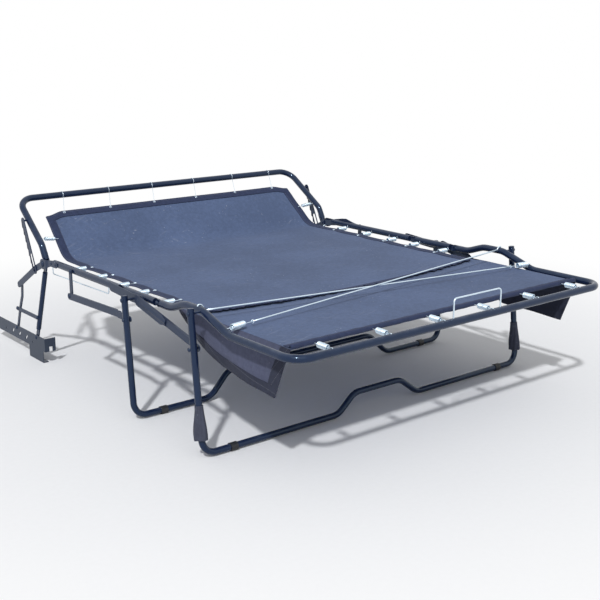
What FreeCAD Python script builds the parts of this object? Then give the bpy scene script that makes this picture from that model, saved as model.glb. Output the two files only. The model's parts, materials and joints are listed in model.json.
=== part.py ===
"""Fold-out sofa bed mechanism: four hinged deck sections on folding legs, carried by lift arms.

Millimetres, +Z up, +Y towards the back of the sofa, the floor at Z = 0.
The right-hand pieces are modelled at +X and mirrored across the YZ plane for the left.
"""
import FreeCAD, Part
import Sketcher
import math
import os
import re

Vector = FreeCAD.Vector

# Driving dimensions: alias, value in millimetres or degrees, meaning
SIZES = [
    ("tube_dia", 25.4, "side tubes of the deck sections"),
    ("leg_dia", 22.0, "leg tubes"),
    ("arm_dia", 19.0, "lift arm tubes"),
    ("half_width", 687.0, "middle plane to the axis of a side tube"),
    ("leg_stand", 44.0, "axis of a side tube to the axis of a leg"),
    ("deck_height", 424.0, "floor to the axis of the side tubes"),
    ("foot_drop", 20.0, "front bar below the side tubes"),
    ("hump_rise", 27.0, "hump of the foot tube above the side tubes"),
    ("fold_y", -86.0, "first fold, body to middle section"),
    ("middle_length", 230.0, "first fold to second fold"),
    ("foot_length", 699.0, "second fold to the front bar"),
    ("corner_bend", 62.0, "bend radius at the corners of foot and head tube"),
    ("hump_bend", 110.0, "bend radius along the hump"),
    ("hump_start", 74.0, "second fold to the foot of the hump"),
    ("hump_top_rear", 154.0, "second fold to the rear end of the hump's top"),
    ("hump_top_front", 250.0, "second fold to the front end of the hump's top"),
    ("hump_end", 394.0, "second fold to the front foot of the hump"),
    ("rear_pivot_y", 494.0, "pivot of head section and lift arm on the body"),
    ("rear_pivot_drop", 12.0, "side tube axis down to that pivot"),
    ("head_length", 250.0, "pivot to the top bar, measured along the floor"),
    ("head_rise", 213.0, "pivot to the top bar, measured upwards"),
    ("head_taper", 11.0, "side tube inward at the top bar of the head"),
    ("head_neck_y", 36.0, "pivot to the neck bend of the head tube, along the floor"),
    ("head_neck_z", 66.0, "pivot to the neck bend of the head tube, upwards"),
    ("neck_bend", 45.0, "bend radius at the neck"),
    ("tube_gap", 18.0, "tube end to the axis of its hinge"),
    ("gusset_reach", 68.0, "rear pivot to the rear end of the body tube"),
    ("pin_dia", 8.0, "hinge pins and rivets"),
    ("pin_clearance", 0.3, "radial play of a pin in its hole"),
    ("side_play", 0.5, "play between plates that turn on each other"),
    ("tongue_gauge", 3.5, "hinge tongues"),
    ("tongue_width", 24.0, "hinge tongues"),
    ("link_gauge", 4.0, "flat links"),
    ("link_width", 20.0, "flat links"),
    ("rail_gauge", 3.0, "mounting rail sheet"),
    ("washer_gauge", 2.0, "arm tongue to the inner face of the mounting rail"),
    ("rail_lead", 76.0, "front end of the mounting rail ahead of the arm pivot"),
    ("rail_length", 487.7, "mounting rail from end to end"),
    ("rail_bottom", 48.0, "floor to the lower edge of the mounting rail"),
    ("rail_depth", 54.0, "lower to upper edge of the mounting rail"),
    ("flange_width", 46.0, "front flange of the rail, turned inward"),
    ("notch_width", 14.0, "open notch in the front flange"),
    ("notch_depth", 20.0, "open notch in the front flange"),
    ("lug_inset", 20.0, "front end of the rail to the floor lug"),
    ("lug_length", 125.0, "floor lug along the rail"),
    ("lug_flange", 22.0, "sole of the floor lug, turned inward"),
    ("bolt_dia", 8.5, "bolt holes in the rail"),
    ("bolt_inset", 110.0, "front end of the rail to the first bolt hole"),
    ("bolt_pitch", 256.0, "first to second bolt hole"),
    ("bolt_rise", 18.0, "lower edge of the rail to the bolt holes"),
    ("slot_length", 26.0, "adjusting slots in the rail"),
    ("slot_inset", 174.0, "front end of the rail to the first adjusting slot"),
    ("slot_pitch", 64.0, "slot to slot"),
    ("arm_lean", 122.0, "rear pivot to the arm's foot, along the floor"),
    ("arm_foot_inset", 10.0, "upper edge of the rail down to the arm pivot"),
    ("arm_stand", 1.0, "axis of a side tube to the inner face of the arm tongues"),
    ("arm_gauge", 5.0, "flattened ends of the lift arm"),
    ("arm_flat", 46.0, "length of a flattened end"),
    ("tie_height", 96.0, "pivot of arm or rear link to the tie, along the arm"),
    ("tie_width", 16.0, "tie link"),
    ("link_pitch", 183.0, "lift arm pivot to rear link pivot on the rail"),
    ("rear_jog_back", 7.0, "jog of the rear link behind its top"),
    ("rear_jog_drop", 51.0, "jog of the rear link below its top"),
    ("rear_width", 15.0, "rear link"),
    ("brace_stand", 0.8, "face of a side tube to the head brace"),
    ("brace_mid_reach", 72.0, "rear pivot to the ratchet pin, along the floor"),
    ("brace_mid_drop", 31.0, "rear pivot down to the ratchet pin"),
    ("brace_reach", 237.0, "rear pivot to the brace's tail at the rear link, along the floor"),
    ("brace_drop", 125.0, "rear pivot down to the brace's tail"),
    ("brace_width", 24.0, "head brace"),
    ("ratchet_reach", 139.0, "neck bend to the ratchet pin on the head tube"),
    ("ratchet_slot", 62.0, "length of the slot in the ratchet link"),
    ("ratchet_width", 25.0, "ratchet link"),
    ("ratchet_slot_width", 16.0, "slot in the ratchet link"),
    ("ratchet_pin_dia", 6.0, "pin in that slot"),
    ("leg_pivot_reach", 87.0, "first fold to the middle leg pivot"),
    ("leg_pivot_drop", 13.0, "side tube axis down to the middle leg pivot"),
    ("leg_splay", 34.0, "middle leg pivot to its foot, along the floor"),
    ("stay_pivot_reach", 57.0, "middle leg pivot to the stay pivot"),
    ("stay_pivot_drop", 7.0, "side tube axis down to the stay pivot"),
    ("plate_overlap", 52.0, "leg plate behind the first fold"),
    ("plate_width", 30.0, "leg plate"),
    ("stay_end_reach", 2.0, "front leg pivot to the stay's stud, along the floor"),
    ("stay_end_drop", 111.0, "front leg pivot down to the stay's stud"),
    ("stay_stand", 1.3, "leg plate to the inner edge of the leg stay"),
    ("channel_gauge", 3.0, "web and flanges of channels"),
    ("channel_depth", 8.0, "depth of channels"),
    ("channel_width", 24.0, "width of channels"),
    ("flange_inset", 26.0, "channel end to the start of its flanges"),
    ("crank_reach", 352.0, "first fold to the leg crank pivot"),
    ("crank_length", 91.0, "leg crank"),
    ("crank_stand", 2.3, "face of a side tube to the leg crank"),
    ("ear_reach", 65.0, "middle leg pivot to the stud of its ear, along the floor"),
    ("ear_drop", 66.0, "middle leg pivot down to the stud of its ear"),
    ("front_pivot", 255.0, "second fold to the front leg pivot"),
    ("front_splay", 47.0, "front leg pivot to its foot, along the floor"),
    ("leg_bend", 48.0, "bend radius of the leg tubes"),
    ("arch_bend", 70.0, "bend radius of the arch in a leg's cross bar"),
    ("front_arch_base", 186.0, "half width of the front leg's arch at its base"),
    ("front_arch_top", 108.0, "half width of the front leg's arch at its top"),
    ("front_arch_rise", 60.0, "rise of the front leg's arch"),
    ("middle_arch_base", 425.0, "half width of the middle leg's arch at its base"),
    ("middle_arch_top", 340.0, "half width of the middle leg's arch at its top"),
    ("middle_arch_rise", 84.0, "rise of the middle leg's arch"),
    ("leg_top", 13.0, "leg end beyond its pivot"),
    ("glide_dia", 27.0, "glide sleeves on the cross bars"),
    ("glide_length", 26.0, "glide sleeves on the cross bars"),
    ("glide_inset", 112.0, "axis of a leg to its glide"),
    ("wrap_low", 52.0, "foot of a leg to the lower end of its fabric wrap"),
    ("wrap_length", 108.0, "fabric wrap along the leg"),
    ("wrap_top_dia", 28.0, "fabric wrap, upper end"),
    ("wrap_low_dia", 40.0, "fabric wrap, lower end"),
    ("deck_gauge", 3.0, "fabric with its hem"),
    ("deck_drop", 11.0, "tube axis to the upper face of the fabric"),
    ("deck_margin", 82.0, "axis of a side tube to the side edge of the fabric"),
    ("deck_gap", 6.0, "fabric edge to the axis of a fold"),
    ("head_deck_top", 238.0, "head pivot to the top edge of the fabric"),
    ("foot_deck_front", 77.0, "front bar to the front edge of the fabric"),
    ("foot_deck_margin", 47.0, "axis of a side tube to the side edge of the foot fabric"),
    ("flap_depth", 160.0, "side flap below the foot fabric, at the front"),
    ("flap_slope", 72.0, "less depth at the rear of the side flap"),
    ("flap_rear", 160.0, "second fold to the lower rear corner of the flap"),
    ("flap_tip", 42.0, "second fold to the rear tip of the flap"),
    ("flap_lean", 62.0, "front edge of the flap, top ahead of bottom"),
    ("spring_dia", 15.0, "coil of a deck spring"),
    ("hook_dia", 2.4, "wire of a deck spring"),
    ("side_coil", 34.0, "coil length of a side spring"),
    ("body_spring_first", 83.0, "first fold to the first side spring of the body"),
    ("body_spring_pitch", 158.5, "side springs of the body"),
    ("middle_spring_first", 50.0, "first fold to the first side spring of the middle section"),
    ("middle_spring_pitch", 160.0, "side springs of the middle section"),
    ("head_spring_reach", 106.0, "head pivot to the side spring of the head"),
    ("front_coil", 36.0, "coil length of a front spring"),
    ("front_spring_first", 110.0, "middle plane to the first front spring"),
    ("front_spring_pitch", 224.0, "front springs"),
    ("head_wire_first", 105.0, "middle plane to the first wire of the head"),
    ("head_wire_pitch", 207.5, "wires of the head"),
    ("head_wire_lean", 30.0, "upper end of a head wire to the right of its lower end"),
    ("brace_wire_dia", 4.0, "crossed brace wires of the foot section"),
    ("wire_front", 380.0, "second fold to the front end of a brace wire"),
    ("wire_rear", 236.0, "second fold to the rear end of a brace wire"),
    ("wire_lift", 9.0, "upper brace wire above the lower one, at the humps"),
    ("wire_seat", 5.0, "rise of the side tube where a brace wire ends"),
    ("control_dia", 4.0, "control rods under the body tubes"),
    ("control_front", 129.0, "first fold to the front end of a control rod"),
    ("control_rear", 16.0, "rear pivot to the rear end of a control rod"),
    ("control_drop_front", 44.0, "body tube axis down to a control rod, at the front"),
    ("control_drop_rear", 52.0, "body tube axis down to a control rod, at the rear"),
    ("control_bend", 8.0, "bend radius of a control rod"),
    ("handle_dia", 5.0, "wire of the handle"),
    ("handle_left", -70.0, "left leg of the handle"),
    ("handle_width", 216.0, "legs of the handle, axis to axis"),
    ("handle_height", 62.0, "handle above the top of the front bar"),
    ("handle_bend", 12.0, "bend radius of the handle"),
]

# Places and fits worked out from the sizes: name, formula
PLACES = {
    "second_fold": "fold_y - middle_length",
    "front_bar": "second_fold - foot_length",
    "front_bar_height": "deck_height - foot_drop",
    "front_pivot_y": "second_fold - front_pivot",
    "front_pivot_height": "deck_height + hump_rise",
    "rear_pivot_z": "deck_height - rear_pivot_drop",
    "arm_foot_y": "rear_pivot_y + arm_lean",
    "arm_foot_z": "rail_bottom + rail_depth - arm_foot_inset",
    "rear_foot_y": "arm_foot_y + link_pitch",
    "rail_front": "arm_foot_y - rail_lead",
    "lug_start": "rail_front + lug_inset",
    "bolt_first": "rail_front + bolt_inset",
    "slot_first": "rail_front + slot_inset",
    "bolt_height": "rail_bottom + bolt_rise",
    "brace_mid_y": "rear_pivot_y + brace_mid_reach",
    "brace_mid_z": "rear_pivot_z - brace_mid_drop",
    "brace_end_y": "rear_pivot_y + brace_reach",
    "brace_end_z": "rear_pivot_z - brace_drop",
    "rear_jog_y": "brace_end_y + rear_jog_back",
    "rear_jog_z": "brace_end_z - rear_jog_drop",
    "leg_pivot_y": "fold_y - leg_pivot_reach",
    "leg_pivot_z": "deck_height - leg_pivot_drop",
    "leg_foot_y": "leg_pivot_y - leg_splay",
    "stay_pivot_y": "leg_pivot_y - stay_pivot_reach",
    "stay_pivot_z": "deck_height - stay_pivot_drop",
    "plate_rear": "fold_y + plate_overlap",
    "stay_end_y": "front_pivot_y - stay_end_reach",
    "stay_end_z": "front_pivot_height - stay_end_drop",
    "crank_y": "fold_y + crank_reach",
    "ear_y": "leg_pivot_y + ear_reach",
    "ear_z": "leg_pivot_z - ear_drop",
    "front_foot_y": "front_pivot_y - front_splay",
    "leg_half_width": "half_width + leg_stand",
    "head_half_width": "half_width - head_taper",
    "deck_half_width": "half_width - deck_margin",
    "foot_deck_half_width": "half_width - foot_deck_margin",
    "glide_x": "leg_half_width - glide_inset",
    "tube_face": "half_width + tube_dia / 2",
    "body_tongue": "half_width - side_play / 2 - tongue_gauge",
    "next_tongue": "half_width + side_play / 2",
    "arm_layer": "half_width + arm_stand",
    "gusset_layer": "arm_layer - 2 * side_play - link_gauge",
    "rail_layer": "arm_layer + arm_gauge + washer_gauge",
    "brace_layer": "tube_face + brace_stand",
    "ratchet_layer": "brace_layer + link_gauge + side_play",
    "stay_layer": "tube_face + rail_gauge + stay_stand",
    "crank_layer": "tube_face + crank_stand",
    "link_layer": "crank_layer + link_gauge + side_play",
    "pin_hole": "pin_dia + 2 * pin_clearance",
}
SIDES_OF_BODY = 3
SIDES_OF_MIDDLE = 2
ALONG_BAR = 3
COIL_PLACE = 0.55

doc = FreeCAD.newDocument("sofa_bed_mechanism")
sheet = doc.addObject("Spreadsheet::Sheet", "sizes")
for row, (alias, value, meaning) in enumerate(SIZES, start=1):
    sheet.set(f"A{row}", alias)
    sheet.set(f"B{row}", str(value))
    sheet.set(f"C{row}", meaning)
    sheet.setAlias(f"B{row}", alias)
doc.recompute()

nodes = {}


def bound(text):
    """Turns a formula in size and place names into an expression that other objects can hold."""
    def swap(match):
        word = match.group(0)
        return f"({bound(PLACES[word])})" if word in PLACES else f"sizes.{word}"
    return re.sub(r"[a-z][a-z_]*", swap, text)


def num(text):
    """The present value of such a formula."""
    return float(sheet.evalExpression(bound(text)))


def node(label, obj):
    """Names an object as a sub-part that is written to its own file."""
    obj.Label = label
    nodes[label] = obj
    return obj


def mirrored(source):
    """The left-hand twin of a right-hand piece."""
    twin = doc.addObject("Part::Mirroring", source.Name + "_twin")
    twin.Source = source
    twin.Normal = Vector(1, 0, 0)
    return twin


def sided_nodes(name, right):
    """Right-hand piece and its mirrored twin as two sub-parts."""
    node(name + "_right", right)
    node(name + "_left", mirrored(right))


def paired_node(name, *right_pieces):
    """Right-hand pieces and their twins as one sub-part of separate solids."""
    both = doc.addObject("Part::Compound", name)
    both.Links = [piece for right in right_pieces for piece in (right, mirrored(right))]
    return node(name, both)


def fused(name, shapes):
    """Pieces welded into one solid."""
    weld = doc.addObject("Part::MultiFuse", name)
    weld.Shapes = shapes
    return weld


def cut(name, base, tool):
    """A piece with a hole or notch taken out."""
    result = doc.addObject("Part::Cut", name)
    result.Base = base
    result.Tool = tool
    return result


def box(name, low, size):
    """An upright block from formulas for its low corner and its three lengths."""
    block = doc.addObject("Part::Box", name)
    for prop, text in zip(("Length", "Width", "Height"), size):
        block.setExpression(prop, bound(text))
    for axis, text in zip("xyz", low):
        block.setExpression(f"Placement.Base.{axis}", bound(text))
    return block


def rod(name, start, end, diameter):
    """A round bar between two points, given as numbers; its diameter is a formula."""
    bar = doc.addObject("Part::Cylinder", name)
    run = Vector(*end) - Vector(*start)
    bar.setExpression("Radius", bound(f"({diameter}) / 2"))
    bar.Height = run.Length
    bar.Placement = FreeCAD.Placement(Vector(*start), FreeCAD.Rotation(Vector(0, 0, 1), run))
    return bar


def pin(name, y, z, low_x, high_x, diameter="pin_dia"):
    """A pin along X between two planes, all given as formulas."""
    bar = doc.addObject("Part::Cylinder", name)
    bar.setExpression("Radius", bound(f"({diameter}) / 2"))
    bar.setExpression("Height", bound(f"({high_x}) - ({low_x})"))
    bar.Placement = FreeCAD.Placement(Vector(), FreeCAD.Rotation(Vector(0, 1, 0), 90))
    for axis, text in zip("xyz", (low_x, y, z)):
        bar.setExpression(f"Placement.Base.{axis}", bound(text))
    return bar


def yz_sketch(body, name, layer):
    """A sketch parallel to the YZ plane, at a distance from it given as a formula."""
    sketch = body.newObject("Sketcher::SketchObject", name)
    planes = [face for face in body.Origin.OriginFeatures if face.Role == "YZ_Plane"]
    sketch.AttachmentSupport = [(planes[0], "")]
    sketch.MapMode = "FlatFace"
    sketch.setExpression("AttachmentOffset.Base.z", bound(layer))
    return sketch


def place(sketch, geometry, y, z, tag):
    """Ties the centre of an arc or circle to two formulas."""
    for kind, text in (("DistanceX", y), ("DistanceY", z)):
        sketch.addConstraint(Sketcher.Constraint(kind, -1, 1, geometry, 3, num(text)))
        index = sketch.ConstraintCount - 1
        sketch.renameConstraint(index, f"{tag}_{kind[-1].lower()}")
        sketch.setExpression(f"Constraints[{index}]", bound(text))


def size_round(sketch, geometry, diameter):
    """Ties the radius of an arc or circle to half of a formula."""
    sketch.addConstraint(Sketcher.Constraint("Radius", geometry, num(diameter) / 2))
    sketch.setExpression(f"Constraints[{sketch.ConstraintCount - 1}]", bound(f"({diameter}) / 2"))


def slot_profile(sketch, first, second, width):
    """Two half rounds about two centres, joined by their tangents."""
    y0, z0 = num(first[0]), num(first[1])
    y1, z1 = num(second[0]), num(second[1])
    radius = num(width) / 2
    turn = math.atan2(z1 - z0, y1 - y0)
    side = Vector(-math.sin(turn), math.cos(turn), 0) * radius
    near = Vector(y0, z0, 0)
    far = Vector(y1, z1, 0)
    up = Vector(0, 0, 1)
    near_arc = Part.ArcOfCircle(Part.Circle(near, up, radius), turn + math.pi / 2, turn + 1.5 * math.pi)
    far_arc = Part.ArcOfCircle(Part.Circle(far, up, radius), turn - math.pi / 2, turn + math.pi / 2)
    arc_a = sketch.addGeometry(near_arc)
    arc_b = sketch.addGeometry(far_arc)
    lower = sketch.addGeometry(Part.LineSegment(near - side, far - side))
    upper = sketch.addGeometry(Part.LineSegment(far + side, near + side))
    for one, one_end, two, two_end in ((arc_a, 2, lower, 1), (lower, 2, arc_b, 1),
                                       (arc_b, 2, upper, 1), (upper, 2, arc_a, 1)):
        sketch.addConstraint(Sketcher.Constraint("Tangent", one, one_end, two, two_end))
    size_round(sketch, arc_a, width)
    place(sketch, arc_a, first[0], first[1], "near")
    place(sketch, arc_b, second[0], second[1], "far")


def strap(name, centres, width, gauge, layer, holes=(), slot=None):
    """A flat strap with round ends along a line of centres, with holes and an optional slot."""
    body = doc.addObject("PartDesign::Body", name)
    for step, (first, second) in enumerate(zip(centres, centres[1:])):
        sketch = yz_sketch(body, f"{name}_run{step}", layer)
        slot_profile(sketch, first, second, width)
        pad = body.newObject("PartDesign::Pad", f"{name}_pad{step}")
        pad.Profile = sketch
        pad.setExpression("Length", bound(gauge))
        doc.recompute()
    if holes:
        sketch = yz_sketch(body, f"{name}_holes", layer)
        for number, (centre, diameter) in enumerate(holes):
            middle = Vector(num(centre[0]), num(centre[1]), 0)
            circle = Part.Circle(middle, Vector(0, 0, 1), num(diameter) / 2)
            index = sketch.addGeometry(circle)
            size_round(sketch, index, diameter)
            place(sketch, index, centre[0], centre[1], f"hole{number}")
        through_all(body, sketch, f"{name}_bore")
    if slot:
        sketch = yz_sketch(body, f"{name}_slot", layer)
        slot_profile(sketch, slot[0], slot[1], slot[2])
        through_all(body, sketch, f"{name}_slotted")
    return body


def through_all(body, sketch, name):
    """Cuts a sketch right through its body, both ways."""
    pocket = body.newObject("PartDesign::Pocket", name)
    pocket.Profile = sketch
    pocket.Type = "ThroughAll"
    pocket.Midplane = True
    doc.recompute()
    return pocket


def bend_line(points, bends):
    """Straight runs through the points, with a tangent arc of the given radius at each inner point."""
    points = [Vector(*point) for point in points]
    edges = []
    start = points[0]
    for before, corner, after, radius in zip(points, points[1:], points[2:], bends):
        into = (corner - before).normalize()
        out = (after - corner).normalize()
        half_turn = into.getAngle(out) / 2
        setback = radius * math.tan(half_turn)
        first = corner - into * setback
        last = corner + out * setback
        inward = (out - into).normalize()
        middle = corner + inward * (radius / math.cos(half_turn) - radius)
        edges.append(Part.LineSegment(start, first).toShape())
        edges.append(Part.Arc(first, middle, last).toShape())
        start = last
    edges.append(Part.LineSegment(start, points[-1]).toShape())
    return Part.Wire(edges)


def tube(name, points, bends, diameter):
    """A round tube swept along a bend line."""
    line = doc.addObject("Part::Feature", name + "_line")
    line.Shape = bend_line(points, bends)
    ring = doc.addObject("Part::Circle", name + "_ring")
    ring.setExpression("Radius", bound(f"({diameter}) / 2"))
    start = Vector(*points[0])
    ring.Placement = FreeCAD.Placement(start, FreeCAD.Rotation(Vector(0, 0, 1), Vector(*points[1]) - start))
    sweep = doc.addObject("Part::Sweep", name)
    sweep.Sections = [ring]
    sweep.Spine = (line, [f"Edge{n}" for n in range(1, len(line.Shape.Edges) + 1)])
    sweep.Solid = True
    sweep.Frenet = False
    return sweep


def both_sides(points):
    """A right-hand run of points, followed by its mirror image back to the other end."""
    return points + [(-x, y, z) for x, y, z in reversed(points)]


def mounting_rails():
    """Slotted rails with an inward front flange and a lug that stands on the floor."""
    plate = box("rail_plate", ("rail_layer", "rail_front", "rail_bottom"),
                ("rail_gauge", "rail_length", "rail_depth"))
    flange = box("rail_flange", ("rail_layer + rail_gauge - flange_width", "rail_front", "rail_bottom"),
                 ("flange_width", "rail_gauge", "rail_depth"))
    lug = box("rail_lug", ("rail_layer", "lug_start", "0"), ("rail_gauge", "lug_length", "rail_bottom"))
    sole = box("rail_sole", ("rail_layer + rail_gauge - lug_flange", "lug_start", "0"),
               ("lug_flange", "lug_length", "rail_gauge"))
    pins = [pin("rail_arm_pin", "arm_foot_y", "arm_foot_z", "arm_layer - link_gauge", "rail_layer"),
            pin("rail_link_pin", "rear_foot_y", "arm_foot_z", "arm_layer - link_gauge", "rail_layer"),
            pin("rail_arm_washer", "arm_foot_y", "arm_foot_z", "arm_layer + arm_gauge + side_play",
                "rail_layer", "pin_dia * 2"),
            pin("rail_link_washer", "rear_foot_y", "arm_foot_z", "arm_layer + link_gauge + side_play",
                "rail_layer", "pin_dia * 2")]
    rail = fused("rail_weld", [plate, flange, lug, sole] + pins)
    notch = box("rail_notch", ("rail_layer - (flange_width + notch_width) / 2", "rail_front - rail_gauge",
                               "rail_bottom - rail_gauge"),
                ("notch_width", "rail_gauge * 3", "notch_depth + rail_gauge"))
    holes = [pin(f"rail_bolt{n}", f"bolt_first + {n} * bolt_pitch", "bolt_height",
                 "rail_layer - rail_gauge", "rail_layer + 2 * rail_gauge", "bolt_dia") for n in range(2)]
    slots = []
    for n in range(3):
        near = (f"slot_first + {n} * slot_pitch", "bolt_height")
        far = (f"slot_first + {n} * slot_pitch - slot_length / 2", "bolt_height + slot_length / 2")
        slots.append(strap(f"rail_slot{n}", [near, far], "bolt_dia", "rail_gauge * 3",
                           "rail_layer - rail_gauge"))
    tools = fused("rail_cuts", [notch] + holes + slots)
    sided_nodes("mounting_rail", cut("rail_cut", rail, tools))


def lift_arms():
    """Tube arms with flattened ends, from the rail to the rear pivot of the body section."""
    foot = ("arm_foot_y", "arm_foot_z")
    head = ("rear_pivot_y", "rear_pivot_z")
    run = Vector(0, num("rear_pivot_y - arm_foot_y"), num("rear_pivot_z - arm_foot_z"))
    along = Vector(run).normalize()
    axis_x = num("arm_layer + arm_gauge / 2")
    flat = num("arm_flat")
    base = Vector(axis_x, num(foot[0]), num(foot[1]))
    share = flat / run.Length
    near = [f"arm_foot_{a} + (rear_pivot_{a} - arm_foot_{a}) * {share}" for a in "yz"]
    far = [f"rear_pivot_{a} - (rear_pivot_{a} - arm_foot_{a}) * {share}" for a in "yz"]
    hole = [(foot, "pin_hole")]
    low_end = strap("arm_low_end", [foot, near], "link_width", "arm_gauge", "arm_layer", hole)
    top_end = strap("arm_top_end", [far, head], "link_width", "arm_gauge", "arm_layer", [(head, "pin_hole")])
    shaft = rod("arm_shaft", base + along * (flat - num("link_width") / 4),
                base + run - along * (flat - num("link_width") / 4), "arm_dia")
    tie = base + along * num("tie_height")
    face = axis_x + num("arm_dia / 2")
    rivet = rod("arm_tie_pin", (axis_x, tie.y, tie.z),
                (face + num("side_play * 2 + rail_gauge"), tie.y, tie.z), "pin_dia")
    sided_nodes("lift_arm", fused("lift_arm_weld", [low_end, shaft, top_end, rivet]))
    return tie, face


def tie_and_rear_links(tie, face):
    """Rear links beside the lift arms, held parallel to them by level ties."""
    tie_shift = num("rear_foot_y - arm_foot_y")
    layer = f"({face} + side_play)"
    near = (str(tie.y), str(tie.z))
    far = (str(tie.y + tie_shift), str(tie.z))
    holes = [(near, "pin_hole"), (far, "pin_hole")]
    link = strap("tie_link", [near, far], "tie_width", "rail_gauge", layer, holes)
    paired_node("tie_links", link)
    foot = ("rear_foot_y", "arm_foot_z")
    jog = ("rear_jog_y", "rear_jog_z")
    top = ("brace_end_y", "brace_end_z")
    rear = strap("rear_strap", [foot, far, jog, top], "rear_width", "link_gauge", "arm_layer",
                 [(foot, "pin_hole")])
    stud = rod("rear_tie_pin", (num("arm_layer"), tie.y + tie_shift, tie.z),
               (face + num("side_play * 2 + rail_gauge"), tie.y + tie_shift, tie.z), "pin_dia")
    top_stud = pin("rear_top_pin", top[0], top[1], "arm_layer", "brace_layer - side_play")
    paired_node("rear_links", fused("rear_link_weld", [rear, stud, top_stud]))


def body_rails():
    """Side tubes of the body section with the rear gusset, hinge tongue and crank pin."""
    rear_end = num("rear_pivot_y - gusset_reach")
    front_end = num("fold_y + tube_gap")
    side = num("half_width")
    height = num("deck_height")
    run = rod("body_tube", (side, front_end, height), (side, rear_end, height), "tube_dia")
    gusset = strap("body_gusset", [("rear_pivot_y - gusset_reach - tongue_width", "deck_height"),
                                   ("rear_pivot_y", "rear_pivot_z")],
                   "brace_width", "link_gauge", "gusset_layer")
    pivot = pin("body_pivot", "rear_pivot_y", "rear_pivot_z", "half_width - tube_dia / 2", "brace_layer")
    tongue = strap("body_tongue", [("fold_y + tube_gap + tongue_width", "deck_height"),
                                   ("fold_y", "deck_height")],
                   "tongue_width", "tongue_gauge", "body_tongue")
    fold_pin = pin("body_fold_pin", "fold_y", "deck_height", "body_tongue", "next_tongue + 2 * tongue_gauge")
    crank_pin = pin("body_crank_pin", "crank_y", "deck_height", "half_width",
                    "crank_layer + link_gauge + side_play")
    sided_nodes("body_rail", fused("body_rail_weld", [run, gusset, pivot, tongue, fold_pin, crank_pin]))


def head_braces():
    """Braces that run down from the rear pivot to the rear links and carry the ratchet pins."""
    line = [("rear_pivot_y", "rear_pivot_z"), ("brace_mid_y", "brace_mid_z"), ("brace_end_y", "brace_end_z")]
    plate = strap("brace_strap", line, "brace_width", "link_gauge", "brace_layer")
    stud = pin("brace_pin", "brace_mid_y", "brace_mid_z", "brace_layer",
               "brace_layer + link_gauge + side_play * 2 + rail_gauge", "ratchet_pin_dia")
    sided_nodes("head_brace", fused("head_brace_weld", [plate, stud]))


def leg_plates():
    """Plates on the body tubes that carry the middle legs and the stays."""
    line = [("plate_rear", "deck_height"), ("leg_pivot_y", "leg_pivot_z + pin_dia / 2"),
            ("stay_pivot_y", "stay_pivot_z")]
    plate = strap("leg_plate_strap", line, "plate_width", "rail_gauge", "tube_face")
    leg_pin = pin("leg_plate_leg_pin", "leg_pivot_y", "leg_pivot_z", "tube_face",
                  "leg_half_width + leg_dia / 2 + side_play")
    stay_pin = pin("leg_plate_stay_pin", "stay_pivot_y", "stay_pivot_z", "tube_face",
                   "stay_layer + channel_depth + side_play")
    paired_node("leg_plates", fused("leg_plate_weld", [plate, leg_pin, stay_pin]))


def middle_rails():
    """Short side tubes of the middle section, hinged at both ends."""
    side = num("half_width")
    height = num("deck_height")
    run = rod("middle_tube", (side, num("second_fold + tube_gap"), height),
              (side, num("fold_y - tube_gap"), height), "tube_dia")
    rear = strap("middle_rear_tongue", [("fold_y - tube_gap - tongue_width", "deck_height"),
                                        ("fold_y", "deck_height")],
                 "tongue_width", "tongue_gauge", "next_tongue", [(("fold_y", "deck_height"), "pin_hole")])
    front = strap("middle_front_tongue", [("second_fold + tube_gap + tongue_width", "deck_height"),
                                          ("second_fold", "deck_height")],
                  "tongue_width", "tongue_gauge", "body_tongue")
    fold_pin = pin("middle_fold_pin", "second_fold", "deck_height", "body_tongue",
                   "next_tongue + 2 * tongue_gauge")
    sided_nodes("middle_rail", fused("middle_rail_weld", [run, rear, front, fold_pin]))


def foot_frame():
    """One bent tube: two humped sides and the front bar, with hinge tongues and leg pins."""
    side = num("half_width")
    fold = num("second_fold")
    level = num("deck_height")
    crest = level + num("hump_rise")
    low = num("front_bar_height")
    half = [(side, fold - num("tube_gap"), level), (side, fold - num("hump_start"), level),
            (side, fold - num("hump_top_rear"), crest), (side, fold - num("hump_top_front"), crest),
            (side, fold - num("hump_end"), low), (side, num("front_bar"), low)]
    bends = [num("hump_bend")] * 4 + [num("corner_bend")]
    frame = tube("foot_sweep", both_sides(half), bends + bends[::-1], "tube_dia")
    tongue = strap("foot_tongue", [("second_fold - tube_gap - tongue_width", "deck_height"),
                                   ("second_fold", "deck_height")],
                   "tongue_width", "tongue_gauge", "next_tongue",
                   [(("second_fold", "deck_height"), "pin_hole")])
    leg_pin = pin("foot_leg_pin", "front_pivot_y", "front_pivot_height", "half_width",
                  "leg_half_width + leg_dia / 2 + side_play")
    node("foot_tube", fused("foot_weld", [frame, tongue, leg_pin, mirrored(tongue), mirrored(leg_pin)]))


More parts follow.
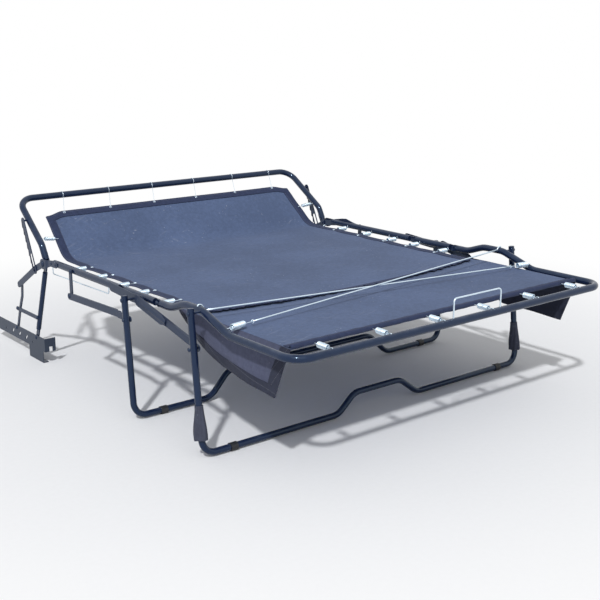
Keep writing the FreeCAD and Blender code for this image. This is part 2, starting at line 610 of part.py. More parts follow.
def head_frame():
    """One bent tube: two sides with a neck bend and the top bar, with flattened pivot ends."""
    pivot_y, pivot_z = num("rear_pivot_y"), num("rear_pivot_z")
    neck = (num("half_width"), pivot_y + num("head_neck_y"), pivot_z + num("head_neck_z"))
    top = (num("head_half_width"), pivot_y + num("head_length"), pivot_z + num("head_rise"))
    rise = Vector(0, num("head_neck_y"), num("head_neck_z")).normalize()
    start = Vector(num("half_width"), pivot_y, pivot_z) + rise * num("tube_gap + pin_dia")
    half = [tuple(start), neck, top]
    bends = [num("neck_bend"), num("corner_bend"), num("corner_bend"), num("neck_bend")]
    frame = tube("head_sweep", both_sides(half), bends, "tube_dia")
    eye = ("rear_pivot_y", "rear_pivot_z")
    reach = num("tube_gap + pin_dia + tongue_width / 2")
    end = (f"rear_pivot_y + {rise.y * reach}", f"rear_pivot_z + {rise.z * reach}")
    tongue = strap("head_tongue", [end, eye], "tongue_width", "link_gauge",
                   "gusset_layer - side_play - link_gauge", [(eye, "pin_hole")])
    root = head_side(num("ratchet_reach"))
    stud = rod("head_ratchet_pin", root, (num("ratchet_layer + rail_gauge + side_play"), root.y, root.z),
               "pin_dia")
    node("head_tube", fused("head_weld", [frame, tongue, stud, mirrored(tongue), mirrored(stud)]))


def head_point(reach):
    """A point of the head plane at a distance from the pivot, as Y and Z."""
    slope = math.atan2(num("head_rise"), num("head_length"))
    return num("rear_pivot_y") + reach * math.cos(slope), num("rear_pivot_z") + reach * math.sin(slope)


def head_side(run):
    """A point on the axis of the head tube's straight side, at a distance above the neck bend."""
    neck = Vector(num("half_width"), num("rear_pivot_y + head_neck_y"), num("rear_pivot_z + head_neck_z"))
    top = Vector(num("head_half_width"), num("rear_pivot_y + head_length"), num("rear_pivot_z + head_rise"))
    return neck + (top - neck).normalize() * run


def ratchet_links():
    """Slotted links from the head tube down to the pins on the braces."""
    foot = Vector(num("brace_mid_y"), num("brace_mid_z"), 0)
    root = head_side(num("ratchet_reach"))
    head = Vector(root.y, root.z, 0)
    along = (foot - head).normalize()
    slot_low = foot + along * num("pin_dia")
    slot_top = slot_low - along * num("ratchet_slot")
    head_eye, low_eye, top_eye = [(str(point.x), str(point.y)) for point in (head, slot_low, slot_top)]
    link = strap("ratchet_strap", [head_eye, low_eye], "ratchet_width", "rail_gauge", "ratchet_layer",
                 [(head_eye, "pin_hole")], (top_eye, low_eye, "ratchet_slot_width"))
    paired_node("ratchet_links", link)


def leg_frame(name, pivot, foot_y, arch):
    """A U-shaped leg with an arch in its cross bar, in the plane through its pivot and its foot."""
    side = num("leg_half_width")
    pivot_y, pivot_z = num(pivot[0]), num(pivot[1])
    base_y, base_z = num(foot_y), num("glide_dia / 2")
    down = Vector(0, base_y - pivot_y, base_z - pivot_z).normalize()
    top = Vector(side, pivot_y, pivot_z) - down * num("leg_top")
    base_half, top_half, rise = (num(text) for text in arch)
    raised = Vector(0, base_y, base_z) - down * rise
    half = [tuple(top), (side, base_y, base_z), (base_half, base_y, base_z), (top_half, raised.y, raised.z)]
    bends = [num("leg_bend"), num("arch_bend"), num("arch_bend")]
    frame = tube(name + "_sweep", both_sides(half), bends + bends[::-1], "leg_dia")
    bore = pin(name + "_bore", pivot[0], pivot[1], "-leg_half_width - leg_dia",
               "leg_half_width + leg_dia", "pin_hole")
    return frame, bore, down


def glides(name, foot_y):
    """Sleeves on the cross bar that stand on the floor."""
    low = "glide_x - glide_length / 2"
    high = "glide_x + glide_length / 2"
    outer = pin(name + "_outer", foot_y, "glide_dia / 2", low, high, "glide_dia")
    inner = pin(name + "_inner", foot_y, "glide_dia / 2", low + " - side_play", high + " + side_play",
                "leg_dia")
    paired_node(name, cut(name + "_sleeve", outer, inner))


def middle_legs():
    """Middle leg with the ears that its link pulls on."""
    pivot = ("leg_pivot_y", "leg_pivot_z")
    frame, bore, down = leg_frame("middle_leg", pivot, "leg_foot_y",
                                  ("middle_arch_base", "middle_arch_top", "middle_arch_rise"))
    drop = num("leg_pivot_z - ear_z")
    on_leg = (str(num("leg_pivot_y") + down.y / -down.z * drop), "ear_z")
    ear = strap("middle_ear", [on_leg, ("ear_y", "ear_z")], "link_width", "link_gauge + side_play * 4",
                "leg_half_width - leg_dia / 2 - link_gauge")
    stud = pin("middle_ear_pin", "ear_y", "ear_z", "link_layer + channel_depth + side_play",
               "leg_half_width - leg_dia / 2")
    leg = fused("middle_leg_weld", [frame, ear, stud, mirrored(ear), mirrored(stud)])
    node("middle_leg", cut("middle_leg_drilled", leg, bore))
    glides("middle_glides", "leg_foot_y")


def front_legs():
    """Front leg with the studs that the stays hold, and its fabric wraps."""
    pivot = ("front_pivot_y", "front_pivot_height")
    frame, bore, down = leg_frame("front_leg", pivot, "front_foot_y",
                                  ("front_arch_base", "front_arch_top", "front_arch_rise"))
    stud = pin("front_stay_pin", "stay_end_y", "stay_end_z", "stay_layer + channel_depth + side_play",
               "leg_half_width")
    leg = fused("front_leg_weld", [frame, stud, mirrored(stud)])
    node("front_leg", cut("front_leg_drilled", leg, bore))
    glides("front_glides", "front_foot_y")
    foot = Vector(num("leg_half_width"), num("front_foot_y"), num("glide_dia / 2"))
    sleeve = doc.addObject("Part::Cone", "wrap_cone")
    sleeve.setExpression("Radius1", bound("wrap_low_dia / 2"))
    sleeve.setExpression("Radius2", bound("wrap_top_dia / 2"))
    sleeve.setExpression("Height", bound("wrap_length"))
    upright = FreeCAD.Rotation(Vector(0, 0, 1), down * -1)
    sleeve.Placement = FreeCAD.Placement(foot - down * num("wrap_low"), upright)
    inner = rod("wrap_bore", foot, foot - down * num("wrap_low + wrap_length * 2"), "leg_dia")
    paired_node("leg_wraps", cut("leg_wrap", sleeve, inner))


def channel(name, first, second, layer, holes):
    """A pressed channel: an outer web with round ends, and two flanges that stop short of them."""
    web_layer = f"({layer} + channel_depth - channel_gauge)"
    web = strap(name + "_web", [first, second], "channel_width", "channel_gauge", web_layer, holes)
    start = Vector(num(layer), num(first[0]), num(first[1]))
    end = Vector(num(layer), num(second[0]), num(second[1]))
    turn = math.degrees(math.atan2(end.z - start.z, end.y - start.y))
    lean = FreeCAD.Rotation(Vector(1, 0, 0), turn)
    inset = num("flange_inset")
    flanges = []
    for tag, offset in (("low", "-channel_width / 2"), ("high", "channel_width / 2 - channel_gauge")):
        lip = doc.addObject("Part::Box", f"{name}_{tag}")
        lip.setExpression("Length", bound("channel_depth"))
        lip.setExpression("Height", bound("channel_gauge"))
        lip.Width = (end - start).Length - 2 * inset
        lip.Placement = FreeCAD.Placement(start + lean.multVec(Vector(0, inset, num(offset))), lean)
        flanges.append(lip)
    return fused(name, [web] + flanges)


def leg_linkage():
    """Cranks on the body tubes, leg links to the middle leg, and stays to the front leg."""
    top = ("crank_y", "deck_height")
    low = ("crank_y", "deck_height - crank_length")
    crank = strap("crank_strap", [top, low], "link_width", "link_gauge", "crank_layer", [(top, "pin_hole")])
    stud = pin("crank_pin", low[0], low[1], "crank_layer", "link_layer + channel_depth + side_play")
    paired_node("leg_cranks", fused("leg_crank_weld", [crank, stud]))
    paired_node("leg_links", channel("leg_link", low, ("ear_y", "ear_z"), "link_layer", [(low, "pin_hole")]))
    stay_top = ("stay_pivot_y", "stay_pivot_z")
    stay = channel("leg_stay", stay_top, ("stay_end_y", "stay_end_z"), "stay_layer", [(stay_top, "pin_hole")])
    paired_node("leg_stays", stay)


def decks():
    """The four panels of the fabric deck, one on each section, and the side flaps of the foot panel."""
    under = "deck_height - deck_drop - deck_gauge"
    across = "2 * deck_half_width"
    node("deck_body", box("deck_body", ("-deck_half_width", "fold_y + deck_gap", under),
                          (across, "rear_pivot_y - fold_y - 3 * deck_gap", "deck_gauge")))
    node("deck_middle", box("deck_middle", ("-deck_half_width", "second_fold + deck_gap", under),
                            (across, "middle_length - 2 * deck_gap", "deck_gauge")))
    foot = box("deck_foot", ("-foot_deck_half_width", "front_bar + foot_deck_front", under),
               ("2 * foot_deck_half_width", "foot_length - foot_deck_front - deck_gap", "deck_gauge"))
    node("deck_foot", foot)
    head = doc.addObject("Part::Box", "deck_head")
    head.setExpression("Length", bound(across))
    head.setExpression("Width", bound("head_deck_top - 2 * deck_gap"))
    head.setExpression("Height", bound("deck_gauge"))
    slope = math.degrees(math.atan2(num("head_rise"), num("head_length")))
    y, z = head_point(num("2 * deck_gap"))
    head.Placement = FreeCAD.Placement(Vector(-num("deck_half_width"), y, z),
                                       FreeCAD.Rotation(Vector(1, 0, 0), slope))
    node("deck_head", head)
    side_flaps(num(under) + num("deck_gauge"))


def side_flaps(top):
    """Fabric that hangs down beside the foot panel, deepest at the front."""
    fold = num("second_fold")
    front = num("front_bar + foot_deck_front")
    depth = num("flap_depth")
    side = num("foot_deck_half_width")
    outline = [(fold - num("flap_tip"), top), (fold - num("flap_rear"), top - depth + num("flap_slope")),
               (front + num("flap_lean"), top - depth), (front, top)]
    points = [Vector(side, y, z) for y, z in outline]
    face = Part.Face(Part.makePolygon(points + points[:1]))
    flap = doc.addObject("Part::Feature", "flap_sheet")
    flap.Shape = face.extrude(Vector(num("deck_gauge"), 0, 0))
    paired_node("side_flaps", flap)


def spring(name, start, end, coil):
    """A deck spring: its coil as a plain round bar on a hooked wire, between two points."""
    wire = rod(name + "_wire", start, end, "hook_dia")
    run = Vector(*end) - Vector(*start)
    along = Vector(run).normalize()
    middle = Vector(*start) + run * COIL_PLACE
    body = rod(name + "_coil", middle - along * (coil / 2), middle + along * (coil / 2), "spring_dia")
    return fused(name, [wire, body])


def spaced(kind):
    """Places across the right-hand half of a bar, from the first one and the pitch of that kind."""
    return [num(f"{kind}_first + {n} * {kind}_pitch") for n in range(ALONG_BAR)]


def deck_springs():
    """Springs round the edge of the fabric, and the wires of the head panel."""
    rest = num("deck_height - deck_drop + hook_dia / 2")
    drop = num("deck_height") - rest
    tube_r = num("tube_dia / 2")
    hem = num("hook_dia * 5")
    side_end = num("half_width") - math.sqrt(tube_r ** 2 - drop ** 2) - num("pin_clearance")
    coil = num("side_coil")

    def side_spring(name, place):
        y = num(place)
        return spring(name, (num("deck_half_width") - hem, y, rest), (side_end, y, rest), coil)

    body_set = [side_spring(f"body_spring{n}", f"fold_y + body_spring_first + {n} * body_spring_pitch")
                for n in range(SIDES_OF_BODY)]
    paired_node("body_springs", *body_set)
    middle_set = [side_spring(f"middle_spring{n}",
                              f"fold_y - middle_spring_first - {n} * middle_spring_pitch")
                  for n in range(SIDES_OF_MIDDLE)]
    paired_node("middle_springs", *middle_set)
    bar = num("front_bar")
    above = rest - num("front_bar_height")
    bar_end = bar + math.sqrt(tube_r ** 2 - above ** 2) + num("pin_clearance")
    hem_y = bar + num("foot_deck_front") + hem
    front_set = [spring(f"front_spring{n}", (x, hem_y, rest), (x, bar_end, rest), num("front_coil"))
                 for n, x in enumerate(spaced("front_spring"))]
    paired_node("front_springs", *front_set)
    lift = num("deck_gauge + hook_dia / 2")
    slope = math.atan2(num("head_rise"), num("head_length"))
    normal = Vector(0, -math.sin(slope), math.cos(slope)) * lift
    full = math.hypot(num("head_rise"), num("head_length"))
    reach = full - math.sqrt(tube_r ** 2 - lift ** 2) - num("pin_clearance")
    places = spaced("head_wire")
    wires = []
    for n, x in enumerate(places + [-place for place in places]):
        low = Vector(x, *head_point(num("head_deck_top") - hem)) + normal
        high = Vector(x + num("head_wire_lean"), *head_point(reach)) + normal
        wires.append(rod(f"head_wire{n}", low, high, "hook_dia"))
    inner = Vector(num("deck_half_width") - hem, *head_point(num("head_spring_reach"))) + normal
    outer = head_side(num("head_spring_reach") - math.hypot(num("head_neck_y"), num("head_neck_z")))
    outer -= Vector(num("tube_dia / 2 + pin_clearance"), 0, 0)
    side = spring("head_spring", inner, outer, coil)
    both = doc.addObject("Part::Compound", "head_wires")
    both.Links = wires + [side, mirrored(side)]
    node("head_wires", both)


def brace_wires():
    """Two crossed wires over the foot panel, each from a hump to the top of the far side tube."""
    fold = num("second_fold")
    inner = num("half_width - tube_dia / 2 - pin_clearance")
    high = num("deck_height + hump_rise")
    low = num("front_bar_height + wire_seat + tube_dia / 2 + brace_wire_dia / 2 + pin_clearance")
    half_lift = num("wire_lift / 2")
    outer = num("half_width")
    rear = fold - num("wire_rear")
    front = fold - num("wire_front")
    lower = rod("wire_lower", (-inner, rear, high - half_lift), (outer, front, low), "brace_wire_dia")
    upper = rod("wire_upper", (inner, rear, high + half_lift), (-outer, front, low), "brace_wire_dia")
    both = doc.addObject("Part::Compound", "brace_wires")
    both.Links = [lower, upper]
    node("brace_wires", both)


def control_rods():
    """Thin rods under the body tubes, turned up beside the tube in front and in to the gusset behind."""
    inner = num("half_width - tube_dia / 2 - control_dia / 2 - pin_clearance")
    front = num("fold_y + control_front")
    rear = num("rear_pivot_y - control_rear")
    level = num("deck_height")
    gusset_z = num("rear_pivot_z - pin_dia")
    points = [(inner, front, level), (inner, front, num("deck_height - control_drop_front")),
              (inner, rear, num("deck_height - control_drop_rear")), (inner, rear, gusset_z),
              (num("gusset_layer"), rear, gusset_z)]
    paired_node("control_rods", tube("control_rod", points, [num("control_bend")] * 3, "control_dia"))


def handle():
    """A wire handle that stands on the front bar."""
    foot_z = num("front_bar_height + tube_dia / 2")
    top_z = foot_z + num("handle_height")
    y = num("front_bar")
    left = num("handle_left")
    right = left + num("handle_width")
    points = [(left, y, foot_z), (left, y, top_z), (right, y, top_z), (right, y, foot_z)]
    node("handle", tube("handle_sweep", points, [num("handle_bend")] * 2, "handle_dia"))


def check_and_write():
    """Stops on any failed object, then writes one file for each sub-part."""
    doc.recompute()
    for obj in doc.Objects:
        if "Invalid" in obj.State or "Error" in obj.State:
            raise RuntimeError(f"{obj.Label} failed: {obj.State}")
    os.makedirs("parts", exist_ok=True)
    for label, obj in sorted(nodes.items()):
        if obj.Shape.isNull() or not obj.Shape.isValid():
            raise RuntimeError(f"{label} has no valid shape")
        obj.Shape.exportStep(f"parts/{label}.step")
        print(f"{label}: {len(obj.Shape.Solids)} solid(s), {obj.Shape.Volume / 1000:.1f} cm3")


mounting_rails()
tie_point, arm_face = lift_arms()
tie_and_rear_links(tie_point, arm_face)
body_rails()
head_braces()
leg_plates()
middle_rails()
foot_frame()
head_frame()
ratchet_links()
middle_legs()
front_legs()
leg_linkage()
decks()
deck_springs()
brace_wires()
control_rods()
handle()
check_and_write()
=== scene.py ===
"""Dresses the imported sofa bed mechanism: sprung fabric deck, coil springs, wires, rivets and finishes."""
import json
import math

import bpy
import numpy as np
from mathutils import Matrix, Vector


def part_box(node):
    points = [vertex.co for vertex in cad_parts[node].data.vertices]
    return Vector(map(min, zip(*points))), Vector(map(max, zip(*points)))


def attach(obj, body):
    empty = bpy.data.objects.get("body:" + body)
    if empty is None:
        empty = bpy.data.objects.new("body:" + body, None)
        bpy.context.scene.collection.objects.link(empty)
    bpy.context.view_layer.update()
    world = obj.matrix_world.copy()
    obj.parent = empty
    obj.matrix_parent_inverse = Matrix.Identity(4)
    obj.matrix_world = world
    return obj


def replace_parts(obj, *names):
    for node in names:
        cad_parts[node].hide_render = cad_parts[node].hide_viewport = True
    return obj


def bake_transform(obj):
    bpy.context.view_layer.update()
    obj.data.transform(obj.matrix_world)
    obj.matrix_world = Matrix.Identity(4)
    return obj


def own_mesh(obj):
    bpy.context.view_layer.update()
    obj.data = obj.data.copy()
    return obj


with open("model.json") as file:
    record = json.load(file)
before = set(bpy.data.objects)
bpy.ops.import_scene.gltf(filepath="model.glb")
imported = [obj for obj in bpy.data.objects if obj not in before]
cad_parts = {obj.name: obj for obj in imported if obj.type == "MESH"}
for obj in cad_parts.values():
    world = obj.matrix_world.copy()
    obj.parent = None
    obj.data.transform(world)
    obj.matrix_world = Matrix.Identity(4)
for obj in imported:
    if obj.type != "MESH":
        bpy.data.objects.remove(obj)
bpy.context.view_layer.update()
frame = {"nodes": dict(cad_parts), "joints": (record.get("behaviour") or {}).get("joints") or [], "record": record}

bl_info = {
    "name": "Sofa bed mechanism",
    "version": (1, 0, 0),
    "blender": (4, 5, 0),
    "location": "3D View > Sidebar > Sofa Bed",
    "description": "Fabric deck, springs, wires, rivets and finishes of a fold-out sofa bed mechanism",
    "category": "Object",
}


def limits(node):
    """Lowest and highest corner of a CAD node as arrays."""
    return [np.array(point, float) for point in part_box(node)]


PIVOT = {joint["name"]: np.array(joint["pos_m"], float) for joint in frame["joints"]}
REAR, FOLD_1, FOLD_2 = (PIVOT[name] for name in ("head_tilt", "first_fold", "second_fold"))
X_AXIS, Y_AXIS, Z_AXIS = np.eye(3)
IN_PLANE = Y_AXIS + Z_AXIS
SIDES = {1.0: "right", -1.0: "left"}
FULL_TURN = 2 * math.pi
DECK_HIGH, HEAD_HIGH = (limits(node)[1] for node in ("deck_body", "deck_head"))
FOOT_LOW, FOOT_HIGH = limits("deck_foot")
TUBE_R = 0.0127
LEG_R = 0.011
SIDE_X = limits("body_rail_right")[0][0] + TUBE_R
HEAD_SLOPE = math.atan2(HEAD_HIGH[2] - REAR[2], HEAD_HIGH[1] - REAR[1])


def metres(name, words, value):
    """A length property with a default in metres."""
    return bpy.props.FloatProperty(name=name, description=words, default=value, unit="LENGTH")


def colour(name, words, value):
    """A colour property with a default in linear red, green and blue."""
    return bpy.props.FloatVectorProperty(name=name, description=words, subtype="COLOR", size=3,
                                         min=0.0, max=1.0, default=value)


class DeckSizes(bpy.types.PropertyGroup):
    """Sizes of the fabric deck and its hems."""
    hem: metres("Hem", "Width of the dark hem round the deck", 0.027)
    crown: metres("Sag", "How far the fabric hangs below its edges", 0.004)
    scallop: metres("Scallop", "Side edge pulled in between two springs", 0.007)
    bow: metres("Front bow", "Middle of the main deck's front hem ahead of its ends", 0.050)
    front: metres("Front hem", "Middle of the main deck's front hem", -0.518)
    bend: metres("Head bend", "Radius of the fabric where the head rises", 0.11)


class WireSizes(bpy.types.PropertyGroup):
    """Sizes of springs, wires and rivets."""
    spring_wire: metres("Spring wire", "Diameter of the spring wire", 0.0026)
    spring_coil: metres("Spring coil", "Outer diameter of a spring", 0.0190)
    side_coil: metres("Side coil", "Coil length of a side spring", 0.047)
    front_coil: metres("Front coil", "Coil length of a front spring", 0.044)
    thin_wire: metres("Head wire", "Diameter of a wire of the head", 0.0020)
    brace_wire: metres("Brace wire", "Diameter of a crossed brace wire", 0.0054)
    rivet: metres("Rivet head", "Diameter of a rivet head", 0.0155)


class Finishes(bpy.types.PropertyGroup):
    """Colours of the finishes."""
    # Tubes and links: navy paint, made bluer than the paint itself as a painted reflection of the blue sky.
    tube: colour("Tubes", "Satin paint of the tubes", (0.0075, 0.0145, 0.0430))
    link: colour("Links", "Paint of links and plates", (0.0125, 0.0200, 0.0480))
    rail: colour("Rails", "Paint of the mounting rails", (0.030, 0.037, 0.058))
    deck: colour("Deck", "Woven deck fabric", (0.085, 0.121, 0.221))
    hem: colour("Hem", "Binding of the deck", (0.027, 0.037, 0.080))
    flap: colour("Flap", "Fabric of the side flaps", (0.079, 0.089, 0.148))
    # Painted shade: the flaps' inner face, a much darker copy of the flap cloth for the shade under the panel.
    lining: colour("Flap lining", "Inner face of the side flaps", (0.021, 0.025, 0.043))
    wrap: colour("Wrap", "Cloth sleeves on the front legs", (0.052, 0.058, 0.086))
    flap_hem: colour("Flap hem", "Hems of the side flaps", (0.026, 0.030, 0.050))
    zinc: colour("Zinc", "Plating of springs and wires", (0.68, 0.80, 0.92))
    glide: colour("Glides", "Plastic sleeves on the legs", (0.012, 0.013, 0.016))
    floor: colour("Floor", "Plain floor", (0.80, 0.81, 0.83))


class Value:
    """A socket in a node tree; operators on it add Math nodes to the tree."""

    def __init__(self, tree, socket):
        self.tree = tree
        self.socket = socket

    def feed(self, socket, item):
        """Links a value to a socket, or sets the socket to a number, vector or colour."""
        if isinstance(item, Value):
            self.tree.links.new(item.socket, socket)
        else:
            socket.default_value = item

    def node(self, kind, settings=None, output=0, **inputs):
        """Adds any node: its settings first, then the values or links of its sockets, by name or _index."""
        added = self.tree.nodes.new(kind)
        for key, setting in (settings or {}).items():
            setattr(added, key, setting)
        for key, item in inputs.items():
            self.feed(added.inputs[int(key[1:]) if key[0] == "_" else key.replace("_", " ")], item)
        return Value(self.tree, added.outputs[output])

    def output(self, key):
        """Another output of the node that this value comes from."""
        return Value(self.tree, self.socket.node.outputs[key])

    def maths(self, operation, first, second=0.0):
        """A Math node of two values or numbers."""
        return self.node("ShaderNodeMath", {"operation": operation}, _0=first, _1=second)

    def __add__(self, other):
        return self.maths("ADD", self, other)

    __radd__ = __add__

    def __sub__(self, other):
        return self.maths("SUBTRACT", self, other)

    def __rsub__(self, other):
        return self.maths("SUBTRACT", other, self)

    def __mul__(self, other):
        return self.maths("MULTIPLY", self, other)

    __rmul__ = __mul__

    def sine(self):
        """Sine of the value, in radians."""
        return self.maths("SINE", self)

    def step(self, low, high):
        """Rises smoothly from 0 to 1 between two numbers."""
        return self.node("ShaderNodeMapRange", {"interpolation_type": "SMOOTHSTEP"},
                         Value=self, From_Min=low, From_Max=high)

    def mixed(self, first, second):
        """A colour between two colours, by this value."""
        return self.node("ShaderNodeMix", {"data_type": "RGBA"}, output=2, _0=self, _6=first, _7=second)


def rgba(rgb, gain=1.0):
    """A colour with full alpha, made lighter or darker by a gain."""
    return tuple(min(1.0, channel * gain) for channel in rgb) + (1.0,)


class Finish:
    """A new material: its principled shader, the start of its expressions and its coordinates."""

    def __init__(self, name):
        material = bpy.data.materials.new(name)
        material.use_nodes = True
        self.tree = material.node_tree
        self.shader = self.tree.nodes["Principled BSDF"]
        self.start = Value(self.tree, None)
        self.place = self.start.node("ShaderNodeTexCoord", output=3)

    def uv(self):
        """The piece's own map, in metres, as two values."""
        across = self.start.node("ShaderNodeSeparateXYZ", Vector=self.place.output("UV"))
        return across, across.output(1)

    def noise(self, scale, detail=3.0, roughness=0.5, vector=None):
        """Cloudy noise from 0 to 1, with so many lumps to the metre."""
        return self.start.node("ShaderNodeTexNoise", Vector=vector or self.place, Scale=scale, Detail=detail,
                               Roughness=roughness)

    def stretched(self, x, y, z, turn=0.0):
        """The coordinates turned about the upright and drawn out, for streaks; so many lumps to the metre."""
        return self.start.node("ShaderNodeMapping", {"vector_type": "TEXTURE"}, Vector=self.place,
                               Rotation=(0.0, 0.0, turn), Scale=(1 / x, 1 / y, 1 / z))

    def set(self, **sockets):
        """Values or links for sockets of the shader."""
        for key, item in sockets.items():
            self.start.feed(self.shader.inputs[key.replace("_", " ")], item)

    def bump(self, height, distance, strength):
        """Bump of a height from 0 to 1 that stands for a distance in metres."""
        self.set(Normal=self.start.node("ShaderNodeBump", Height=height, Distance=distance,
                                        Strength=strength))


SKY_TINT = (0.60, 0.80, 1.0, 1.0)
# Bluish film for upper faces: partly dust, partly a painted reflection of the sky.
DUST_AND_SKY_REFLECTION = rgba((0.21, 0.25, 0.34))
BARE_METAL = rgba((0.11, 0.115, 0.13))
FABRIC_SCUFF = rgba((0.20, 0.23, 0.31))
LINT = rgba((0.32, 0.35, 0.42))
THREAD = rgba((0.16, 0.17, 0.20))
RUBBED_PLASTIC = rgba((0.05, 0.05, 0.055))
RIB_PITCH, ROW_PITCH, STITCH_PITCH = 0.0016, 0.030, 0.0055


def paint_finish(name, shade, gloss, dust_and_sky):
    """Satin paint: cloudy tone, fine orange peel, a bluish film of dust and painted sky reflection on upper faces,
    and small scuffs.
    """
    finish = Finish(name)
    cloud = finish.noise(9.0, 4.0)
    peel = finish.noise(900.0, 2.0)
    scuff = finish.noise(1.0, 5.0, 0.7, finish.stretched(60.0, 45.0, 60.0)).step(0.68, 0.76)
    up = finish.start.node("ShaderNodeSeparateXYZ", output=2,
                           Vector=finish.start.node("ShaderNodeNewGeometry", output=1))
    # Upper faces are lightened towards a bluish film: partly dust, partly painted sky reflection.
    dust_and_sky_film = up.step(0.35, 1.0) * finish.noise(30.0, 5.0, 0.6).step(0.35, 0.75) * dust_and_sky
    dusted_and_sky_lit = dust_and_sky_film.mixed(cloud.mixed(rgba(shade, 0.8), rgba(shade, 1.25)), DUST_AND_SKY_REFLECTION)
    finish.set(Base_Color=(scuff * 0.35).mixed(dusted_and_sky_lit, BARE_METAL),
               Roughness=gloss + cloud * 0.06 + scuff * 0.18 + dust_and_sky_film * 0.3, Specular_IOR_Level=0.45,
               Specular_Tint=SKY_TINT)
    finish.bump(peel, 0.00004, 0.5)


def zinc_finish(name, shade):
    """Bright zinc: mottled plating with darker grain, some bluish clouding."""
    finish = Finish(name)
    grain = finish.noise(420.0, 4.0, 0.65)
    tone = finish.noise(35.0, 3.0).mixed(rgba(shade, 0.86), rgba(shade, 1.12))
    finish.set(Base_Color=(grain.step(0.50, 0.80) * 0.30).mixed(tone, rgba(shade, 0.62)),
               Metallic=0.92 - grain * 0.15, Roughness=0.24 + grain * 0.22)
    finish.bump(grain, 0.00003, 0.4)


def threads_of(value, pitch):
    """Ridges of a pitch in metres along a value, from -1 to 1."""
    return (value * (FULL_TURN / pitch)).sine()


def fabric_finish(name, shade, pitch, specks, lining=None):
    """Woven fabric: plain weave on the piece's own map, mottled tone, pale lint, faint scuffs two ways.

    The weave is the product of two threads' ridges. A lining is a second, much darker colour: painted shade
    for the inner face, which lies in shade, where the piece's own attribute of that name is 1.
    """
    finish = Finish(name)
    across, along = finish.uv()
    weave = threads_of(across, pitch) * threads_of(along, pitch) * 0.5 + 0.5
    cloud = finish.noise(3.2, 4.0, 0.55)
    mottle = finish.noise(75.0, 5.0, 0.68)
    slub = finish.noise(240.0, 3.0, 0.6)
    lint = finish.noise(110.0, 1.0, 0.4).step(0.70, 0.76) * finish.noise(9.0).step(0.42, 0.66) * specks
    one, two = (finish.noise(1.0, 4.0, 0.62, finish.stretched(x, y, 20.0, turn)).step(0.58, 0.68)
                for x, y, turn in ((7.0, 95.0, 0.35), (10.0, 85.0, -0.75)))
    marks = (one + two) * finish.noise(6.0, 2.0).step(0.44, 0.62) * (specks * 0.42)
    uneven = (cloud * 0.40 + mottle * 0.42 + slub * 0.18).step(0.36, 0.64)
    tone = uneven.mixed(rgba(shade, 0.82), rgba(shade, 1.17))
    scuffed = marks.mixed((weave * 0.22).mixed(tone, rgba(shade, 0.62)), FABRIC_SCUFF)
    # Painted shade: the inner face of a flap takes the lining colour, far darker than the cloth.
    if lining:
        side = finish.start.node("ShaderNodeAttribute", {"attribute_name": "lining"}, output=2)
        scuffed = side.mixed(scuffed, mottle.mixed(rgba(lining, 0.7), rgba(lining, 1.3)))
    finish.set(Base_Color=lint.mixed(scuffed, LINT), Roughness=0.72 + weave * 0.12,
               Sheen_Weight=0.05, Sheen_Roughness=0.5, Specular_IOR_Level=0.15)
    finish.bump(weave * 0.7 + slub * 0.3, 0.0003, 0.45)


def hem_finish(name, shade):
    """Binding tape: ribbed along its length, creased, with rows of stitches on the piece's own map; its tone is
    painted shade of the creases, darker in their hollows and lighter on their ridges.
    """
    finish = Finish(name)
    across, along = finish.uv()
    rib = threads_of(along, RIB_PITCH) * 0.5 + 0.5
    crease = finish.noise(1.0, 5.0, 0.6, finish.stretched(70.0, 70.0, 70.0))
    row = (across * (FULL_TURN / ROW_PITCH) + 0.6).sine().step(0.965, 0.99)
    stitch = row * threads_of(along, STITCH_PITCH).step(-0.2, 0.3)
    # Painted shade: the tone follows the crease relief, darker in its hollows and lighter on its ridges.
    tone = crease.mixed(rgba(shade, 0.7), rgba(shade, 1.5))
    finish.set(Base_Color=(stitch * 0.55).mixed(tone, THREAD),
               Roughness=0.78 + rib * 0.12, Sheen_Weight=0.04, Specular_IOR_Level=0.15)
    finish.bump(rib * 0.3 + crease * 0.5 + stitch * 0.4, 0.0006, 0.6)


def plastic_finish(name, shade):
    """Matte moulded plastic with a fine grain and rubbed spots."""
    finish = Finish(name)
    grain = finish.noise(700.0, 3.0)
    rub = finish.noise(40.0, 4.0).step(0.55, 0.75)
    finish.set(Base_Color=(rub * 0.5).mixed(rgba(shade), RUBBED_PLASTIC),
               Roughness=0.5 + grain * 0.15 + rub * 0.1)
    finish.bump(grain, 0.00006, 0.5)


def unit(vector):
    """A vector, or each row of an array of them, at length 1."""
    return vector / np.linalg.norm(vector, axis=-1, keepdims=True)


def smooth_step(value):
    """Smooth rise from 0 to 1."""
    value = np.clip(value, 0, 1)
    return value * value * (3 - 2 * value)


def lattice(first, second):
    """Two parameters on a grid, each as start, stop and count: the first by rows, the second by columns."""
    return np.meshgrid(np.linspace(*first), np.linspace(*second), indexing="ij")


def moved(origin, *moves):
    """An origin moved by arrays of distances, each along a direction of its own."""
    return origin + sum(distance[..., None] * axis for distance, axis in moves)


def placed(x, y, z):
    """A grid of points from its three coordinates, each spread over the whole grid."""
    return np.stack(np.broadcast_arrays(x, y, z), axis=-1)


def outward(points, right_way):
    """A grid as it is, or with its columns the other way round, so that its faces point outwards."""
    return points if right_way else points[:, ::-1]


def grid_faces(rows, columns, closed=False):
    """Four corners of each cell of a grid, as indices; a closed grid joins its last column to the first."""
    row = np.arange(rows - 1)[:, None]
    column = np.arange(columns if closed else columns - 1)[None, :]
    following = (column + 1) % columns
    cells = np.stack([row * columns + column, row * columns + following,
                      (row + 1) * columns + following, (row + 1) * columns + column], axis=-1)
    return cells.reshape(-1, 4)


